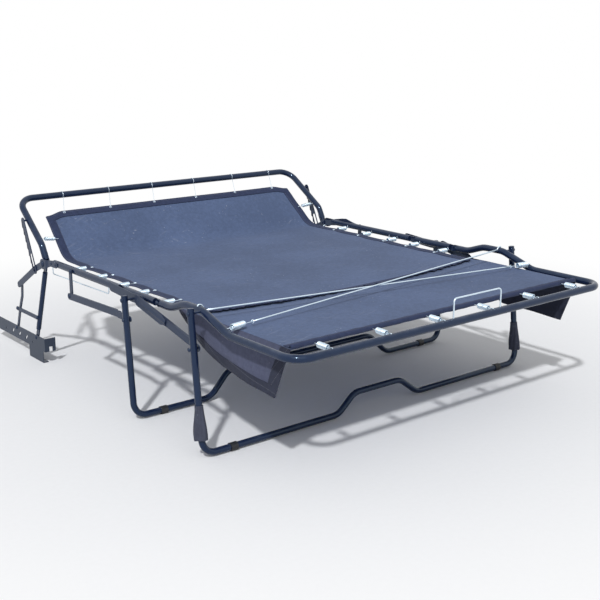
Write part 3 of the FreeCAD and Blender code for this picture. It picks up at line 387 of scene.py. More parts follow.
def capped(rings):
    """Corners and faces of a solid: a grid whose rows are rings, with its walls and a cap at each end."""
    rows, sides = rings.shape[:2]
    ends = np.arange(rows * sides).reshape(rows, sides)[[0, -1]]
    return rings.reshape(-1, 3), [grid_faces(rows, sides, closed=True), ends[:1, ::-1], ends[1:]]


def around(sides):
    """Angles round a ring, as one row."""
    return np.linspace(0, FULL_TURN, sides, endpoint=False)[None, :]


def sweep(path, side, radius, sides=10):
    """A round bar along a path: rings of cos and sin about the tangent, the first spoke nearest to side."""
    tangent = unit(np.gradient(path, axis=0))
    spoke = unit(side - np.sum(side * tangent, axis=1, keepdims=True) * tangent)
    other = np.cross(tangent, spoke)
    turn = around(sides)[..., None]
    reach = np.broadcast_to(radius, (len(path),))[:, None, None]
    return capped(path[:, None] + reach * (np.cos(turn) * spoke[:, None] + np.sin(turn) * other[:, None]))


def spokes(axis, hint):
    """Two unit vectors that are square to an axis and to each other, the first square to a hint too."""
    spoke = unit(np.cross(axis, hint))
    return spoke, np.cross(axis, spoke)


DOME_FOOT = 0.0004


def dome(centre, axis, width, height):
    """A low dome on a face: its radius falls as the cosine while its height rises as the sine."""
    turn = np.linspace(0, math.pi / 2 * 0.97, 8)
    along = np.concatenate([[-DOME_FOOT], height * np.sin(turn)])
    reach = np.concatenate([[width / 2], width / 2 * np.cos(turn)])
    hint = Z_AXIS if abs(axis[2]) < 0.9 else X_AXIS
    return sweep(moved(centre, (along, axis)), np.cross(axis, hint), reach, 20)


def flat_section(sides):
    """Across and up of a flat bar's section, from -1 to 1: cos and sin, to a power that squares them."""
    turn = around(sides)
    return [np.sign(wave) * np.abs(wave) ** 0.35 for wave in (np.cos(turn), np.sin(turn))]


def mesh_object(name, parts, finish, smooth=True):
    """One object from several sets of corners and blocks of faces, at the origin."""
    corners, faces, count = [], [], 0
    for points, blocks in parts:
        corners.append(points)
        for block in blocks:
            faces += (block + count).tolist()
        count += len(points)
    mesh = bpy.data.meshes.new(name)
    mesh.from_pydata(np.concatenate(corners).tolist(), [], faces)
    mesh.polygons.foreach_set("use_smooth", np.full(len(mesh.polygons), smooth))
    mesh.materials.append(bpy.data.materials[finish])
    piece = bpy.data.objects.new(name, mesh)
    bpy.context.scene.collection.objects.link(piece)
    return piece


def shell(points, thickness, closed):
    """Both faces of a sheet: the grid moved half its thickness each way along its normals, and a rim.

    The normal is the cross product of the grid's two directions; a closed grid joins its ends round a tube.
    Returns corners, the smooth faces and the flat faces of the rim.
    """
    rows, columns = points.shape[:2]
    if closed:
        across = np.roll(points, -1, axis=1) - np.roll(points, 1, axis=1)
    else:
        across = np.gradient(points, axis=1)
    shift = unit(np.cross(across, np.gradient(points, axis=0))) * thickness / 2
    count = rows * columns
    corners = np.concatenate([(points + shift).reshape(-1, 3), (points - shift).reshape(-1, 3)])
    front = grid_faces(rows, columns, closed)
    index = np.arange(count).reshape(rows, columns)
    if closed:
        edges = [index[0], index[-1, ::-1]]
    else:
        edges = [np.concatenate([index[0], index[1:, -1], index[-1, -2::-1], index[-2:0:-1, 0]])]
    rims = [np.stack([edge, edge + count, np.roll(edge, -1) + count, np.roll(edge, -1)], axis=-1)
            for edge in edges]
    return corners, np.concatenate([front, front[:, ::-1] + count]), np.concatenate(rims)


def sheet_object(name, points, finish, across, along, thickness, closed=False):
    """A thin sheet from a grid of points, its rim sharp; its own map holds metres across and along."""
    size = points.shape[:2]
    corners, faces, rim = shell(points, thickness, closed)
    piece = mesh_object(name, [(corners, [faces, rim])], finish)
    mesh = piece.data
    mesh.polygons.foreach_set("use_smooth", np.arange(len(mesh.polygons)) < len(faces))
    border = np.zeros(len(corners), bool)
    border[rim.ravel()] = True
    ends = np.empty(len(mesh.edges) * 2, int)
    mesh.edges.foreach_get("vertices", ends)
    mesh.edges.foreach_set("use_edge_sharp", border[ends].reshape(-1, 2).all(axis=1))
    layer = mesh.uv_layers.new(name="cloth")
    loops = np.empty(len(mesh.loops), int)
    mesh.loops.foreach_get("vertex_index", loops)
    flat = np.stack([np.broadcast_to(across, size), np.broadcast_to(along, size)], axis=-1).reshape(-1, 2)
    layer.data.foreach_set("uv", flat[loops % len(flat)].ravel())
    return piece


def settle(piece, body):
    """Rides a piece on a body."""
    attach(piece, body)
    return piece


FINISH_OF_SLOT = {"frame_paint": "satin tube paint", "link_paint": "satin link paint",
                  "rail_steel": "grey rail paint", "zinc_wire": "bright zinc", "deck_fabric": "woven deck",
                  "wrap_fabric": "wrap cloth", "glide_plastic": "glide plastic"}


def metal_piece(name, parts, body, slot, smooth=True):
    """One rigid piece of several parts, in its slot's finish, on its body."""
    return settle(mesh_object(name, parts, FINISH_OF_SLOT[slot], smooth), body)


def zinc_piece(node, ending, parts, body):
    """Springs or wires joined into one piece that stands for their node."""
    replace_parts(metal_piece(f"{node}_{ending}", parts, body, "zinc_wire"), node)


def grid_area(points):
    """Area of a grid of points: half the cross product of each cell's diagonals, added up."""
    one = points[1:, 1:] - points[:-1, :-1]
    two = points[1:, :-1] - points[:-1, 1:]
    return float(np.linalg.norm(np.cross(one, two), axis=-1).sum() / 2)


def ripple(a, b, seed):
    """Soft random waves: a sum of eight sines of two parameters, between about -1 and 1."""
    draw = np.random.default_rng(seed)
    total = 0.0
    for _ in range(8):
        fa, fb, phase = draw.uniform(-1, 1), draw.uniform(-1, 1), draw.uniform(0, FULL_TURN)
        total = total + np.sin(a * fa * 9 + b * fb * 9 + phase)
    return total / 4


def node_points(name):
    """Corners of a CAD node's mesh as an array."""
    mesh = frame["nodes"][name].data
    points = np.empty(len(mesh.vertices) * 3)
    mesh.vertices.foreach_get("co", points)
    return points.reshape(-1, 3)


def face_at(node, y, z, reach=0.016):
    """Outer face of a right-hand solid near a pivot: the furthest corner across within a short reach."""
    points = node_points(node)
    near = np.hypot(points[:, 1] - y, points[:, 2] - z) < reach
    return float(points[near, 0].max())


def leg_line(node):
    """A leg's pivot, and the direction from it down to the middle of its glides."""
    pivot = PIVOT[node + "_fold"]
    foot = sum(limits(node.replace("leg", "glides"))) / 2
    return pivot, unit((foot - pivot) * IN_PLANE)


def clusters(values, gap=0.03):
    """Middles of runs of numbers that lie closer than a gap."""
    values = np.sort(values)
    groups = np.split(values, np.nonzero(np.diff(values) > gap)[0] + 1)
    return np.array([0.5 * (group[0] + group[-1]) for group in groups])


SPRING_PLACES = {node: clusters(node_points(node)[:, 1]) for node in ("body_springs", "middle_springs")}
DECK_SINK, SIDE_LAP, HEAD_TAPER = 0.0015, 0.012, 0.012
SCALLOP_RUN, DECK_WAVE = 0.06, 0.0012
CUT_CORNER, CUT_FROM = 0.018, 0.875


def deck_profile(bend):
    """The main deck from the head's top edge to its front, as a function of the distance along it.

    A straight slope, an arc of the bend radius that is tangent to both, and a level run. Returns that
    function, and the distance at which the level run passes y = 0.
    """
    level = DECK_HIGH[2] - DECK_SINK
    setback = bend * math.tan(HEAD_SLOPE / 2)
    top = math.hypot(HEAD_HIGH[1] - REAR[1], HEAD_HIGH[2] - REAR[2])
    arc_start = top - setback
    arc_end = arc_start + bend * HEAD_SLOPE
    centre_y = REAR[1] - setback

    def profile(distance):
        """Place and tilt at a distance: slope, then arc, then level."""
        on_slope = top - np.minimum(distance, arc_start)
        turn = HEAD_SLOPE - np.clip(distance - arc_start, 0, bend * HEAD_SLOPE) / bend
        above = distance < arc_start
        y = np.where(above, REAR[1] + on_slope * math.cos(HEAD_SLOPE),
                     centre_y + bend * np.sin(turn) - np.maximum(distance - arc_end, 0))
        z = np.where(above, level + on_slope * math.sin(HEAD_SLOPE), level + bend - bend * np.cos(turn))
        return y, z, np.where(above, HEAD_SLOPE, turn)
    return profile, arc_end + centre_y


def main_deck(sizes, across, distance, lift=0.0):
    """Points of the main deck: across from -1 to 1, distance along the profile, lifted along the normal.

    The side edges are pulled in between the springs, by nothing at a spring and the full depth 60 mm away,
    the head tapers in a little towards its top, and the middle sags below the edges by a parabola.
    """
    y, z, tilt = deck_profile(sizes.bend)[0](distance)
    nearest = np.min(np.abs(y[..., None] - np.concatenate(list(SPRING_PLACES.values()))), axis=-1)
    taper = smooth_step((y - REAR[1]) / (HEAD_HIGH[1] - REAR[1]))
    half = DECK_HIGH[0] + SIDE_LAP - sizes.scallop * smooth_step(nearest / SCALLOP_RUN) - HEAD_TAPER * taper
    x = across * half
    sag = sizes.crown * (1 - across ** 2) * (1 - 0.7 * smooth_step((y - REAR[1] + 0.1) / 0.2))
    up = lift - sag + DECK_WAVE * ripple(x * 1.4, y * 1.4, 3)
    return placed(x, y - np.sin(tilt) * up, z + np.cos(tilt) * up)


def top_edge(across):
    """Distance of the head's top edge: level, but its outer eighth is cut away towards the corners."""
    return CUT_CORNER * smooth_step((np.abs(across) - CUT_FROM) / (1 - CUT_FROM))


def front_edge(sizes, across):
    """Distance of the main deck's bowed front hem: furthest forward in the middle."""
    return deck_profile(sizes.bend)[1] - sizes.front - sizes.bow * across ** 2


class SOFABED_OT_finishes(bpy.types.Operator):
    """Makes the finishes and gives every solid of the frame its own."""
    bl_idname = "sofabed.finishes"
    bl_label = "Finishes"

    def execute(self, context):
        shades = context.scene.sofabed_finishes
        # The last number of each paint is the strength of its film of dust and painted sky reflection on upper
        # faces.
        paint_finish("satin tube paint", shades.tube, 0.10, 0.13)
        paint_finish("satin link paint", shades.link, 0.32, 0.18)
        paint_finish("grey rail paint", shades.rail, 0.40, 0.12)
        zinc_finish("bright zinc", shades.zinc)
        fabric_finish("woven deck", shades.deck, 0.0022, 0.6)
        # The flap cloth's inner face gets the lining colour as painted shade.
        fabric_finish("flap cloth", shades.flap, 0.0026, 0.2, tuple(shades.lining))
        fabric_finish("wrap cloth", shades.wrap, 0.0020, 0.3)
        hem_finish("binding", shades.hem)
        hem_finish("flap binding", shades.flap_hem)
        plastic_finish("glide plastic", shades.glide)
        for part in frame["record"]["subparts"]:
            materials = frame["nodes"][part["node"]].data.materials
            materials.clear()
            materials.append(bpy.data.materials[FINISH_OF_SLOT[part["material_slot"]]])
        return {"FINISHED"}


class SOFABED_OT_deck(bpy.types.Operator):
    """Makes the main deck as three sheets, and its dark hems."""
    bl_idname = "sofabed.deck"
    bl_label = "Main deck"
    cloth = 0.0016
    tape = 0.0018
    columns = 141
    rear_seam = 0.30
    front_seam = -0.20
    overhang = 1.004
    lap, turned_under = 0.004, 0.008
    side_lift, top_lift, front_lift = 0.0016, 0.0030, 0.0040
    gathered = 0.009
    fold_run = 0.035

    def execute(self, context):
        sizes = context.scene.sofabed_deck
        at_zero = deck_profile(sizes.bend)[1]
        rear_seam, front_seam = at_zero - self.rear_seam, at_zero - self.front_seam
        bend = self.fold_run * Y_AXIS
        spans = (("deck_cloth_head", "deck_head", 61, 0.0, rear_seam, "body_section", "head_section",
                  REAR - 0.05 * Y_AXIS, REAR + 0.045 * Y_AXIS + self.fold_run * Z_AXIS),
                 ("deck_cloth_body", "deck_body", 81, rear_seam, front_seam, "body_section", "middle_section",
                  FOLD_1 + bend, FOLD_1 - bend),
                 ("deck_cloth_front", "deck_middle", 61, front_seam, None, "middle_section", "foot_section",
                  FOLD_2 + bend, FOLD_2 - bend))
        for name, node, rows, start, end, body_a, body_b, near, far in spans:
            share, across = lattice((0, 1, rows), (-1, 1, self.columns))
            stop = front_edge(sizes, across) if end is None else end
            begin = top_edge(across) if start == 0.0 else start
            distance = begin + share * (stop - begin)
            points = main_deck(sizes, across, distance)
            piece = sheet_object(name, points, "woven deck", across * DECK_HIGH[0], distance, self.cloth)
            hems = self.hems(sizes, name, start, end, rows)
            for cloth in [piece] + hems:
                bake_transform(cloth)
            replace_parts(piece, node)
            length = float(np.mean(distance[-1] - distance[0]))
        return {"FINISHED"}

    def hems(self, sizes, name, start, end, rows):
        """Side bands, slightly domed, and a band across the top or front where the sheet ends there."""
        made = []
        half = DECK_HIGH[0]
        share, band = lattice((0, 1, rows * 2), (0, 1, 9))
        for side, tag in SIDES.items():
            stop = front_edge(sizes, side) if end is None else end
            begin = top_edge(1.0 - band * sizes.hem / half) if start == 0.0 else start
            distance = begin + share * (stop - begin)
            fold = band * (sizes.hem + self.turned_under)
            across = side * (self.overhang - (fold - self.lap) / half)
            points = main_deck(sizes, across, distance, lift=self.side_lift)
            points[..., 2] += 0.0016 * np.sin(band * math.pi) + 0.0008 * ripple(distance * 9, band * 2, 11)
            points = outward(points, side < 0)
            made.append(sheet_object(f"{name}_hem_{tag}", points, "binding", fold, distance, self.tape))
        if start == 0.0:
            band, across = lattice((-0.002, sizes.hem, 9), (-self.overhang, self.overhang, 181))
            points = main_deck(sizes, across, band + top_edge(across), lift=self.top_lift)
            made.append(sheet_object(f"{name}_hem_top", points, "binding", band, across * half, self.tape))
        if end is None:
            made.append(self.front_hem(sizes, name))
        return made

    def front_hem(self, sizes, name):
        """The main deck's front hem: a narrow gathered edge that waves up and down."""
        band, across = lattice((-1, 1, 7), (-1, 1, 321))
        wave = 0.0032 * ripple(across * 22, 0, 5) + 0.0009 * ripple(across * 46, 0, 6)
        distance = front_edge(sizes, across) + band * self.gathered + wave * (band + 1)
        lift = self.front_lift + 0.0022 * ripple(across * 30, band * 0.4, 8) * (band + 1) / 2
        points = main_deck(sizes, across, distance, lift=lift)
        return sheet_object(f"{name}_hem_front", points, "binding", band * self.gathered,
                            across * DECK_HIGH[0], 0.0022)


class SOFABED_OT_foot_panel(bpy.types.Operator):
    """Makes the foot panel with its rolled front hem, and the side flaps that hang from it."""
    bl_idname = "sofabed.foot_panel"
    bl_label = "Foot panel and flaps"
    cloth = 0.0014
    flap_middle = 0.49
    fullest = {"right": 0.94, "left": 0.84}
    tuck_run = 0.05
    tuck_depth = 0.0045
    near_edge = 0.001
    bead_radius = 0.0075
    flap_out, flap_hem_out = 0.0015, 0.0035

    def execute(self, context):
        level = FOOT_LOW[2] + 0.0012
        self.panel(context.scene.sofabed_deck, FOLD_2[1] - 0.03, FOOT_LOW[1], FOOT_HIGH[0], level)
        for side, tag in SIDES.items():
            self.flap(side, tag, level)
        return {"FINISHED"}

    def panel(self, sizes, rear, front, half, level):
        """A taut sheet that sinks a little in its middle, with a bead round its front rod.

        Behind the main deck's front hem it lies lower, so that the main deck covers it.
        """
        share, across = lattice((0, 1, 71), (-1, 1, 121))
        x, y = across * half, rear + share * (front - rear)
        bowl = sizes.crown * (1 - across ** 2)
        tuck = 1 - smooth_step((sizes.front + sizes.bow * across ** 2 - y) / self.tuck_run)
        sag = bowl * 1.3 * np.sin(math.pi * share) * (1 - tuck) + (bowl + self.tuck_depth) * tuck
        points = placed(x, y, level - sag + 0.001 * ripple(x, y, 21))
        cloth = sheet_object("foot_cloth", points, "woven deck", x, y, self.cloth)
        line = np.linspace(-1, 1, 161)
        path = placed(line * (half - 0.002), front + 0.006, level + 0.004 + 0.0008 * ripple(line * 8, 0, 31))
        bead = mesh_object("foot_cloth_bead", [sweep(path, Z_AXIS, self.bead_radius, 14)], "binding")
        band, line = lattice((0, 1, 9), (-1, 1, len(line)))
        fold = 0.004 + band * sizes.hem * 1.2
        rise = 0.0022 + 0.0008 * ripple(line * 9, band * 3, 32) + 0.006 * (1 - smooth_step(band / 0.35))
        points = placed(line * half, front + fold, level + rise)
        hem = sheet_object("foot_cloth_hem", points, "binding", fold, line * half, 0.0016)
        for piece in (cloth, bead, hem):
            settle(piece, "foot_section")
        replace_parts(cloth, "deck_foot")

    def flap(self, side, tag, level):
        """Hanging cloth: from the panel's edge down to a slanted lower edge, bellied outwards by waves."""
        low, high = limits("side_flaps")
        tip, front, bottom = high[1], low[1], low[2]
        outline = node_points("side_flaps")
        at_bottom = outline[:, 2] < bottom + self.near_edge
        between = ~at_bottom & (outline[:, 2] < high[2] - self.near_edge)
        lean = outline[at_bottom, 1].mean() - front
        _, kink_y, kink_z = outline[between].mean(axis=0)
        knots = (0, (kink_y - tip) / (front - tip), self.flap_middle, 1)
        drops = (0, (high[2] - kink_z) / (high[2] - bottom), self.fullest[tag], 1)

        def hang(length, drop, out):
            """Coordinates at shares of the length and the drop, so far outside the panel's edge."""
            belly = 0.010 * np.sin(math.pi * drop) * np.sin(math.pi * length) + 0.012 * drop * length
            x = FOOT_HIGH[0] + out + belly + 0.006 * ripple(length * 3, drop * 0.9, 41) * drop
            y = tip + length * (front - tip) + drop * lean * smooth_step(length)
            return side * x, y, level - drop * np.interp(length, knots, drops) * (level - bottom)

        length, drop = lattice((0, 1, 81), (0, 1, 41))
        x, y, z = hang(length, drop, self.flap_out)
        points = outward(placed(x, y, z), side > 0)
        cloth = sheet_object(f"flap_cloth_{tag}", points, "flap cloth", y, z, self.cloth)
        # The inner face is marked for the lining's painted shade.
        inner = np.repeat([1.0, 0.0], len(cloth.data.vertices) // 2)
        cloth.data.attributes.new("lining", "FLOAT", "POINT").data.foreach_set("value", inner)
        low_band = 1 - 0.27 * (1 - drop) / (np.interp(length, knots, drops) + 0.25)
        hems = []
        for part, s, t in (("low", length, low_band), ("front", 1 - 0.075 * (1 - length), drop)):
            x, y, z = hang(s, t, self.flap_hem_out)
            width, run = (z, y) if part == "low" else (y, z)
            hems.append(sheet_object(f"flap_cloth_{tag}_hem_{part}", outward(placed(x, y, z), side > 0),
                                     "flap binding", width, run, 0.0018))
        for piece in [cloth] + hems:
            settle(piece, "foot_section")
            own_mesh(piece)
        if side > 0:
            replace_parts(cloth, "side_flaps")
        flat = (abs(front - tip), level - bottom)
        grid_area(points)


def coil(start, end, length, place, outer, wire):
    """A close-wound helix about the line from start to end, with a straight stem to each end."""
    span = np.linalg.norm(end - start)
    axis = (end - start) / span
    spoke, other = spokes(axis, Z_AXIS)
    turns = max(4, round(length / (wire * 1.12)))
    turn = np.linspace(0, turns * FULL_TURN, turns * 16 + 1)
    first = span * place - length / 2
    along = first + np.linspace(0, length, len(turn))
    ends = smooth_step(np.minimum(turn, turn[::-1]) / (FULL_TURN * 0.75)) * 0.85 + 0.15
    radial = moved(0, (np.cos(turn), spoke), (np.sin(turn), other))
    path = moved(start, (along, axis), ((outer - wire) / 2 * ends, radial))
    parts = [sweep(path, radial, wire / 2, 8)]
    for a, b in ((0.0, first + wire), (first + length - wire, span)):
        parts.append(sweep(moved(start, (np.linspace(a, b, 8), axis)), Z_AXIS, wire / 2, 8))
    return parts


def tube_hook(centre, along, toward, wire, turn):
    """A wire hook over a tube: an arc about its axis from the side it is pulled from, its end turned in."""
    share = np.linspace(0, 1, 28)[:, None]
    angle = share * turn * math.pi
    reach = TUBE_R + wire / 2 - 1.5 * wire * smooth_step((share - 0.8) / 0.2)
    path = centre + reach * (np.cos(angle) * toward + np.sin(angle) * np.cross(along, toward))
    return sweep(path, along, wire / 2, 8)


def eye_ring(centre, axis, radius, wire):
    """A closed ring of wire about an axis, such as an eyelet in the hem."""
    spoke, other = spokes(axis, Y_AXIS if abs(axis[1]) < 0.9 else X_AXIS)
    angle = np.linspace(0, FULL_TURN * 0.999, 25)[:, None]
    return sweep(centre + radius * (np.cos(angle) * spoke + np.sin(angle) * other), axis, wire / 2, 8)


class SOFABED_OT_springs(bpy.types.Operator):
    """Winds the side and front springs, with hooks round the tubes and eyelets in the hems."""
    bl_idname = "sofabed.springs"
    bl_label = "Deck springs"
    place = 0.55
    front_place = 0.64
    hook_turn = 0.3
    eye = 0.0046

    def execute(self, context):
        sizes = context.scene.sofabed_wire
        rest = DECK_HIGH[2] + 0.0012
        inner = math.sqrt(TUBE_R ** 2 - (FOLD_1[2] - rest) ** 2)
        for node, body in (("body_springs", "body_section"), ("middle_springs", "middle_section")):
            parts = []
            for side in SIDES:
                for y in SPRING_PLACES[node]:
                    hem, seat, tube = (np.array([side * x, y, z]) for x, z in (
                        (DECK_HIGH[0] - 0.012, rest), (SIDE_X - inner, rest), (SIDE_X, FOLD_1[2])))
                    parts += self.spring(sizes, hem, seat, tube, side * Y_AXIS, sizes.side_coil, self.place)
            zinc_piece(node, "wound", parts, body)
        parts = []
        low, high = limits("front_springs")
        bar_y = limits("foot_tube")[0][1] + TUBE_R
        bar_z = limits("handle")[0][2] - TUBE_R
        for x in clusters(node_points("front_springs")[:, 0]):
            hem, seat, tube = (np.array([x, y, z]) for y, z in (
                (high[1], rest), (low[1], rest), (bar_y, bar_z)))
            parts += self.spring(sizes, hem, seat, tube, X_AXIS, sizes.front_coil, self.front_place)
        zinc_piece("front_springs", "wound", parts, "foot_section")
        return {"FINISHED"}

    def spring(self, sizes, hem, seat, tube, along, length, place):
        """One coil from an eyelet in a hem to its seat on a tube, and a hook round that tube."""
        wire = sizes.spring_wire
        hook = tube_hook(tube, along, unit(seat - tube), wire, self.hook_turn)
        ring = eye_ring(hem + 0.001 * Z_AXIS, Z_AXIS, self.eye, wire)
        return coil(hem, seat, length, place, sizes.spring_coil, wire) + [hook, ring]


class SOFABED_OT_wires(bpy.types.Operator):
    """Makes the wires of the head, its side springs, and the crossed brace wires with their springs."""
    bl_idname = "sofabed.wires"
    bl_label = "Wires"
    side_eye = 0.008
    seat_lift = 0.004
    brace_lift = (0.0045, -0.0045)
    brace_spring = 0.100
    brace_coil = 0.051

    def execute(self, context):
        sizes = context.scene.sofabed_wire
        self.head(sizes)
        self.braces(sizes)
        return {"FINISHED"}

    def head(self, sizes):
        """Each wire leans from an eyelet in the hem up the head's plane, and loops over the top bar."""
        slope = math.cos(HEAD_SLOPE) * Y_AXIS + math.sin(HEAD_SLOPE) * Z_AXIS
        normal = np.cross(X_AXIS, slope)
        bar = (limits("head_tube")[1] - TUBE_R) * IN_PLANE
        hem = HEAD_HIGH * IN_PLANE - 0.006 * slope + 0.003 * normal
        wire = sizes.thin_wire
        back = math.sqrt((TUBE_R + wire / 2) ** 2 - self.seat_lift ** 2)
        points = node_points("head_wires")
        outer = points[points[:, 0] > DECK_HIGH[0] - 0.05]
        points = points[np.abs(points[:, 0]) < DECK_HIGH[0] - 0.05]
        lower = points[:, 2] < points[:, 2].mean()
        parts = []
        for low_x, high_x in zip(clusters(points[lower, 0]), clusters(points[~lower, 0])):
            foot = hem + low_x * X_AXIS
            middle = bar + high_x * X_AXIS
            seat = middle - slope * back + self.seat_lift * normal
            parts += [sweep(np.linspace(foot, seat, 12), X_AXIS, wire / 2, 8),
                      tube_hook(middle, -X_AXIS, unit(seat - middle), wire, 1.5),
                      eye_ring(foot, normal, 0.0045, wire)]
        inner_end = outer[outer[:, 0] < outer[:, 0].min() + 0.002].mean(axis=0)
        inner_end[0] = DECK_HIGH[0] - self.side_eye
        outer_end = outer[outer[:, 0] > outer[:, 0].max() - 0.002].mean(axis=0)
        for side in SIDES:
            flip = np.array([side, 1, 1])
            parts += coil(inner_end * flip, outer_end * flip, sizes.side_coil, 0.55, sizes.spring_coil * 0.8,
                          sizes.spring_wire)
        zinc_piece("head_wires", "hooked", parts, "head_section")

    def braces(self, sizes):
        """Each wire starts in a loop on a hump, crosses the panel and ends in a spring on the far tube."""
        low, high = limits("brace_wires")
        hump_z = PIVOT["front_leg_fold"][2]
        wire = sizes.brace_wire
        parts = []
        for side, lift in zip(SIDES, self.brace_lift):
            start = np.array([side * (SIDE_X - TUBE_R), high[1], hump_z + lift])
            end = np.array([-side * SIDE_X, low[1], low[2] + wire / 2])
            run = end - start
            joint = start + run * (1 - self.brace_spring / np.linalg.norm(run))
            parts.append(sweep(np.linspace(start, joint, 24), Z_AXIS, wire / 2, 10))
            parts += coil(joint, end, self.brace_coil, 0.595, sizes.spring_coil * 1.1, sizes.spring_wire)
            parts += [eye_ring(joint, Y_AXIS, 0.0055, sizes.spring_wire),
                      tube_hook((side * SIDE_X, high[1], hump_z), side * Y_AXIS, -side * X_AXIS, wire, 0.7)]
        zinc_piece("brace_wires", "sprung", parts, "foot_section")


class SOFABED_OT_rivets(bpy.types.Operator):
    """Sets domed rivet heads on the pivots and studs, and rounds off the open ends of the legs."""
    bl_idname = "sofabed.rivets"
    bl_label = "Rivets"
    rise = 0.0042
    cap_rise = 0.0025
    strap_end = 0.012
    tie_end = 0.008
    pivots = {"body_section": (("middle_leg", "middle_leg_fold"), ("leg_stays", "stay_swing"),
                               ("leg_cranks", "crank_swing")),
              "middle_section": (("middle_rail_right", "second_fold"),),
              "foot_section": (("front_leg", "front_leg_fold"),),
              "leg_cranks": (("leg_links", "leg_link_swing"),)}

    def execute(self, context):
        head = context.scene.sofabed_wire.rivet
        small = head * 0.9
        for body, places in self.pivots.items():
            spots = [(node, *PIVOT[joint][1:]) for node, joint in places]
            self.heads(body, [(face_at(*spot), *spot[1:], head) for spot in spots])
        tie_low, tie_high = limits("tie_links")
        tie_z = tie_low[2] + self.tie_end
        for body, y in (("lift_arms", tie_low[1] + self.tie_end), ("rear_links", tie_high[1] - self.tie_end)):
            self.heads(body, [(face_at("tie_links", y, tie_z), y, tie_z, small)])
        leg_face, rail_face = (limits(node)[1][0] for node in ("front_leg", "mounting_rail_right"))
        self.heads("rails", [(rail_face, *PIVOT[joint][1:], head) for joint in ("stow", "rear_link_swing")])
        stay_end = limits("leg_stays")[0] + self.strap_end
        self.heads("front_legs", [(leg_face, *stay_end[1:], small)])
        link_top = limits("leg_links")[1][2] - self.strap_end
        pivot, down = leg_line("middle_leg")
        on_leg = pivot[1] + down[1] * (link_top - pivot[2]) / down[2]
        self.heads("middle_legs", [(leg_face, on_leg, link_top, small)])
        for node in ("front_leg", "middle_leg"):
            pivot, down = leg_line(node)
            high = limits(node)[1]
            top = pivot - down * (high[2] - pivot[2]) * abs(down[2])
            parts = [dome((side * (high[0] - LEG_R), *top[1:]), -down, 2 * LEG_R, self.cap_rise)
                     for side in SIDES]
            metal_piece(f"end_caps_{node}s", parts, node + "s", "frame_paint")
        return {"FINISHED"}

    def heads(self, body, spots):
        """One piece with the rivet heads of a body, on both sides."""
        parts = [dome((side * face, y, z), side * X_AXIS, width, self.rise)
                 for side in SIDES for face, y, z, width in spots]
        metal_piece(f"rivets_{body}", parts, body, "link_paint")


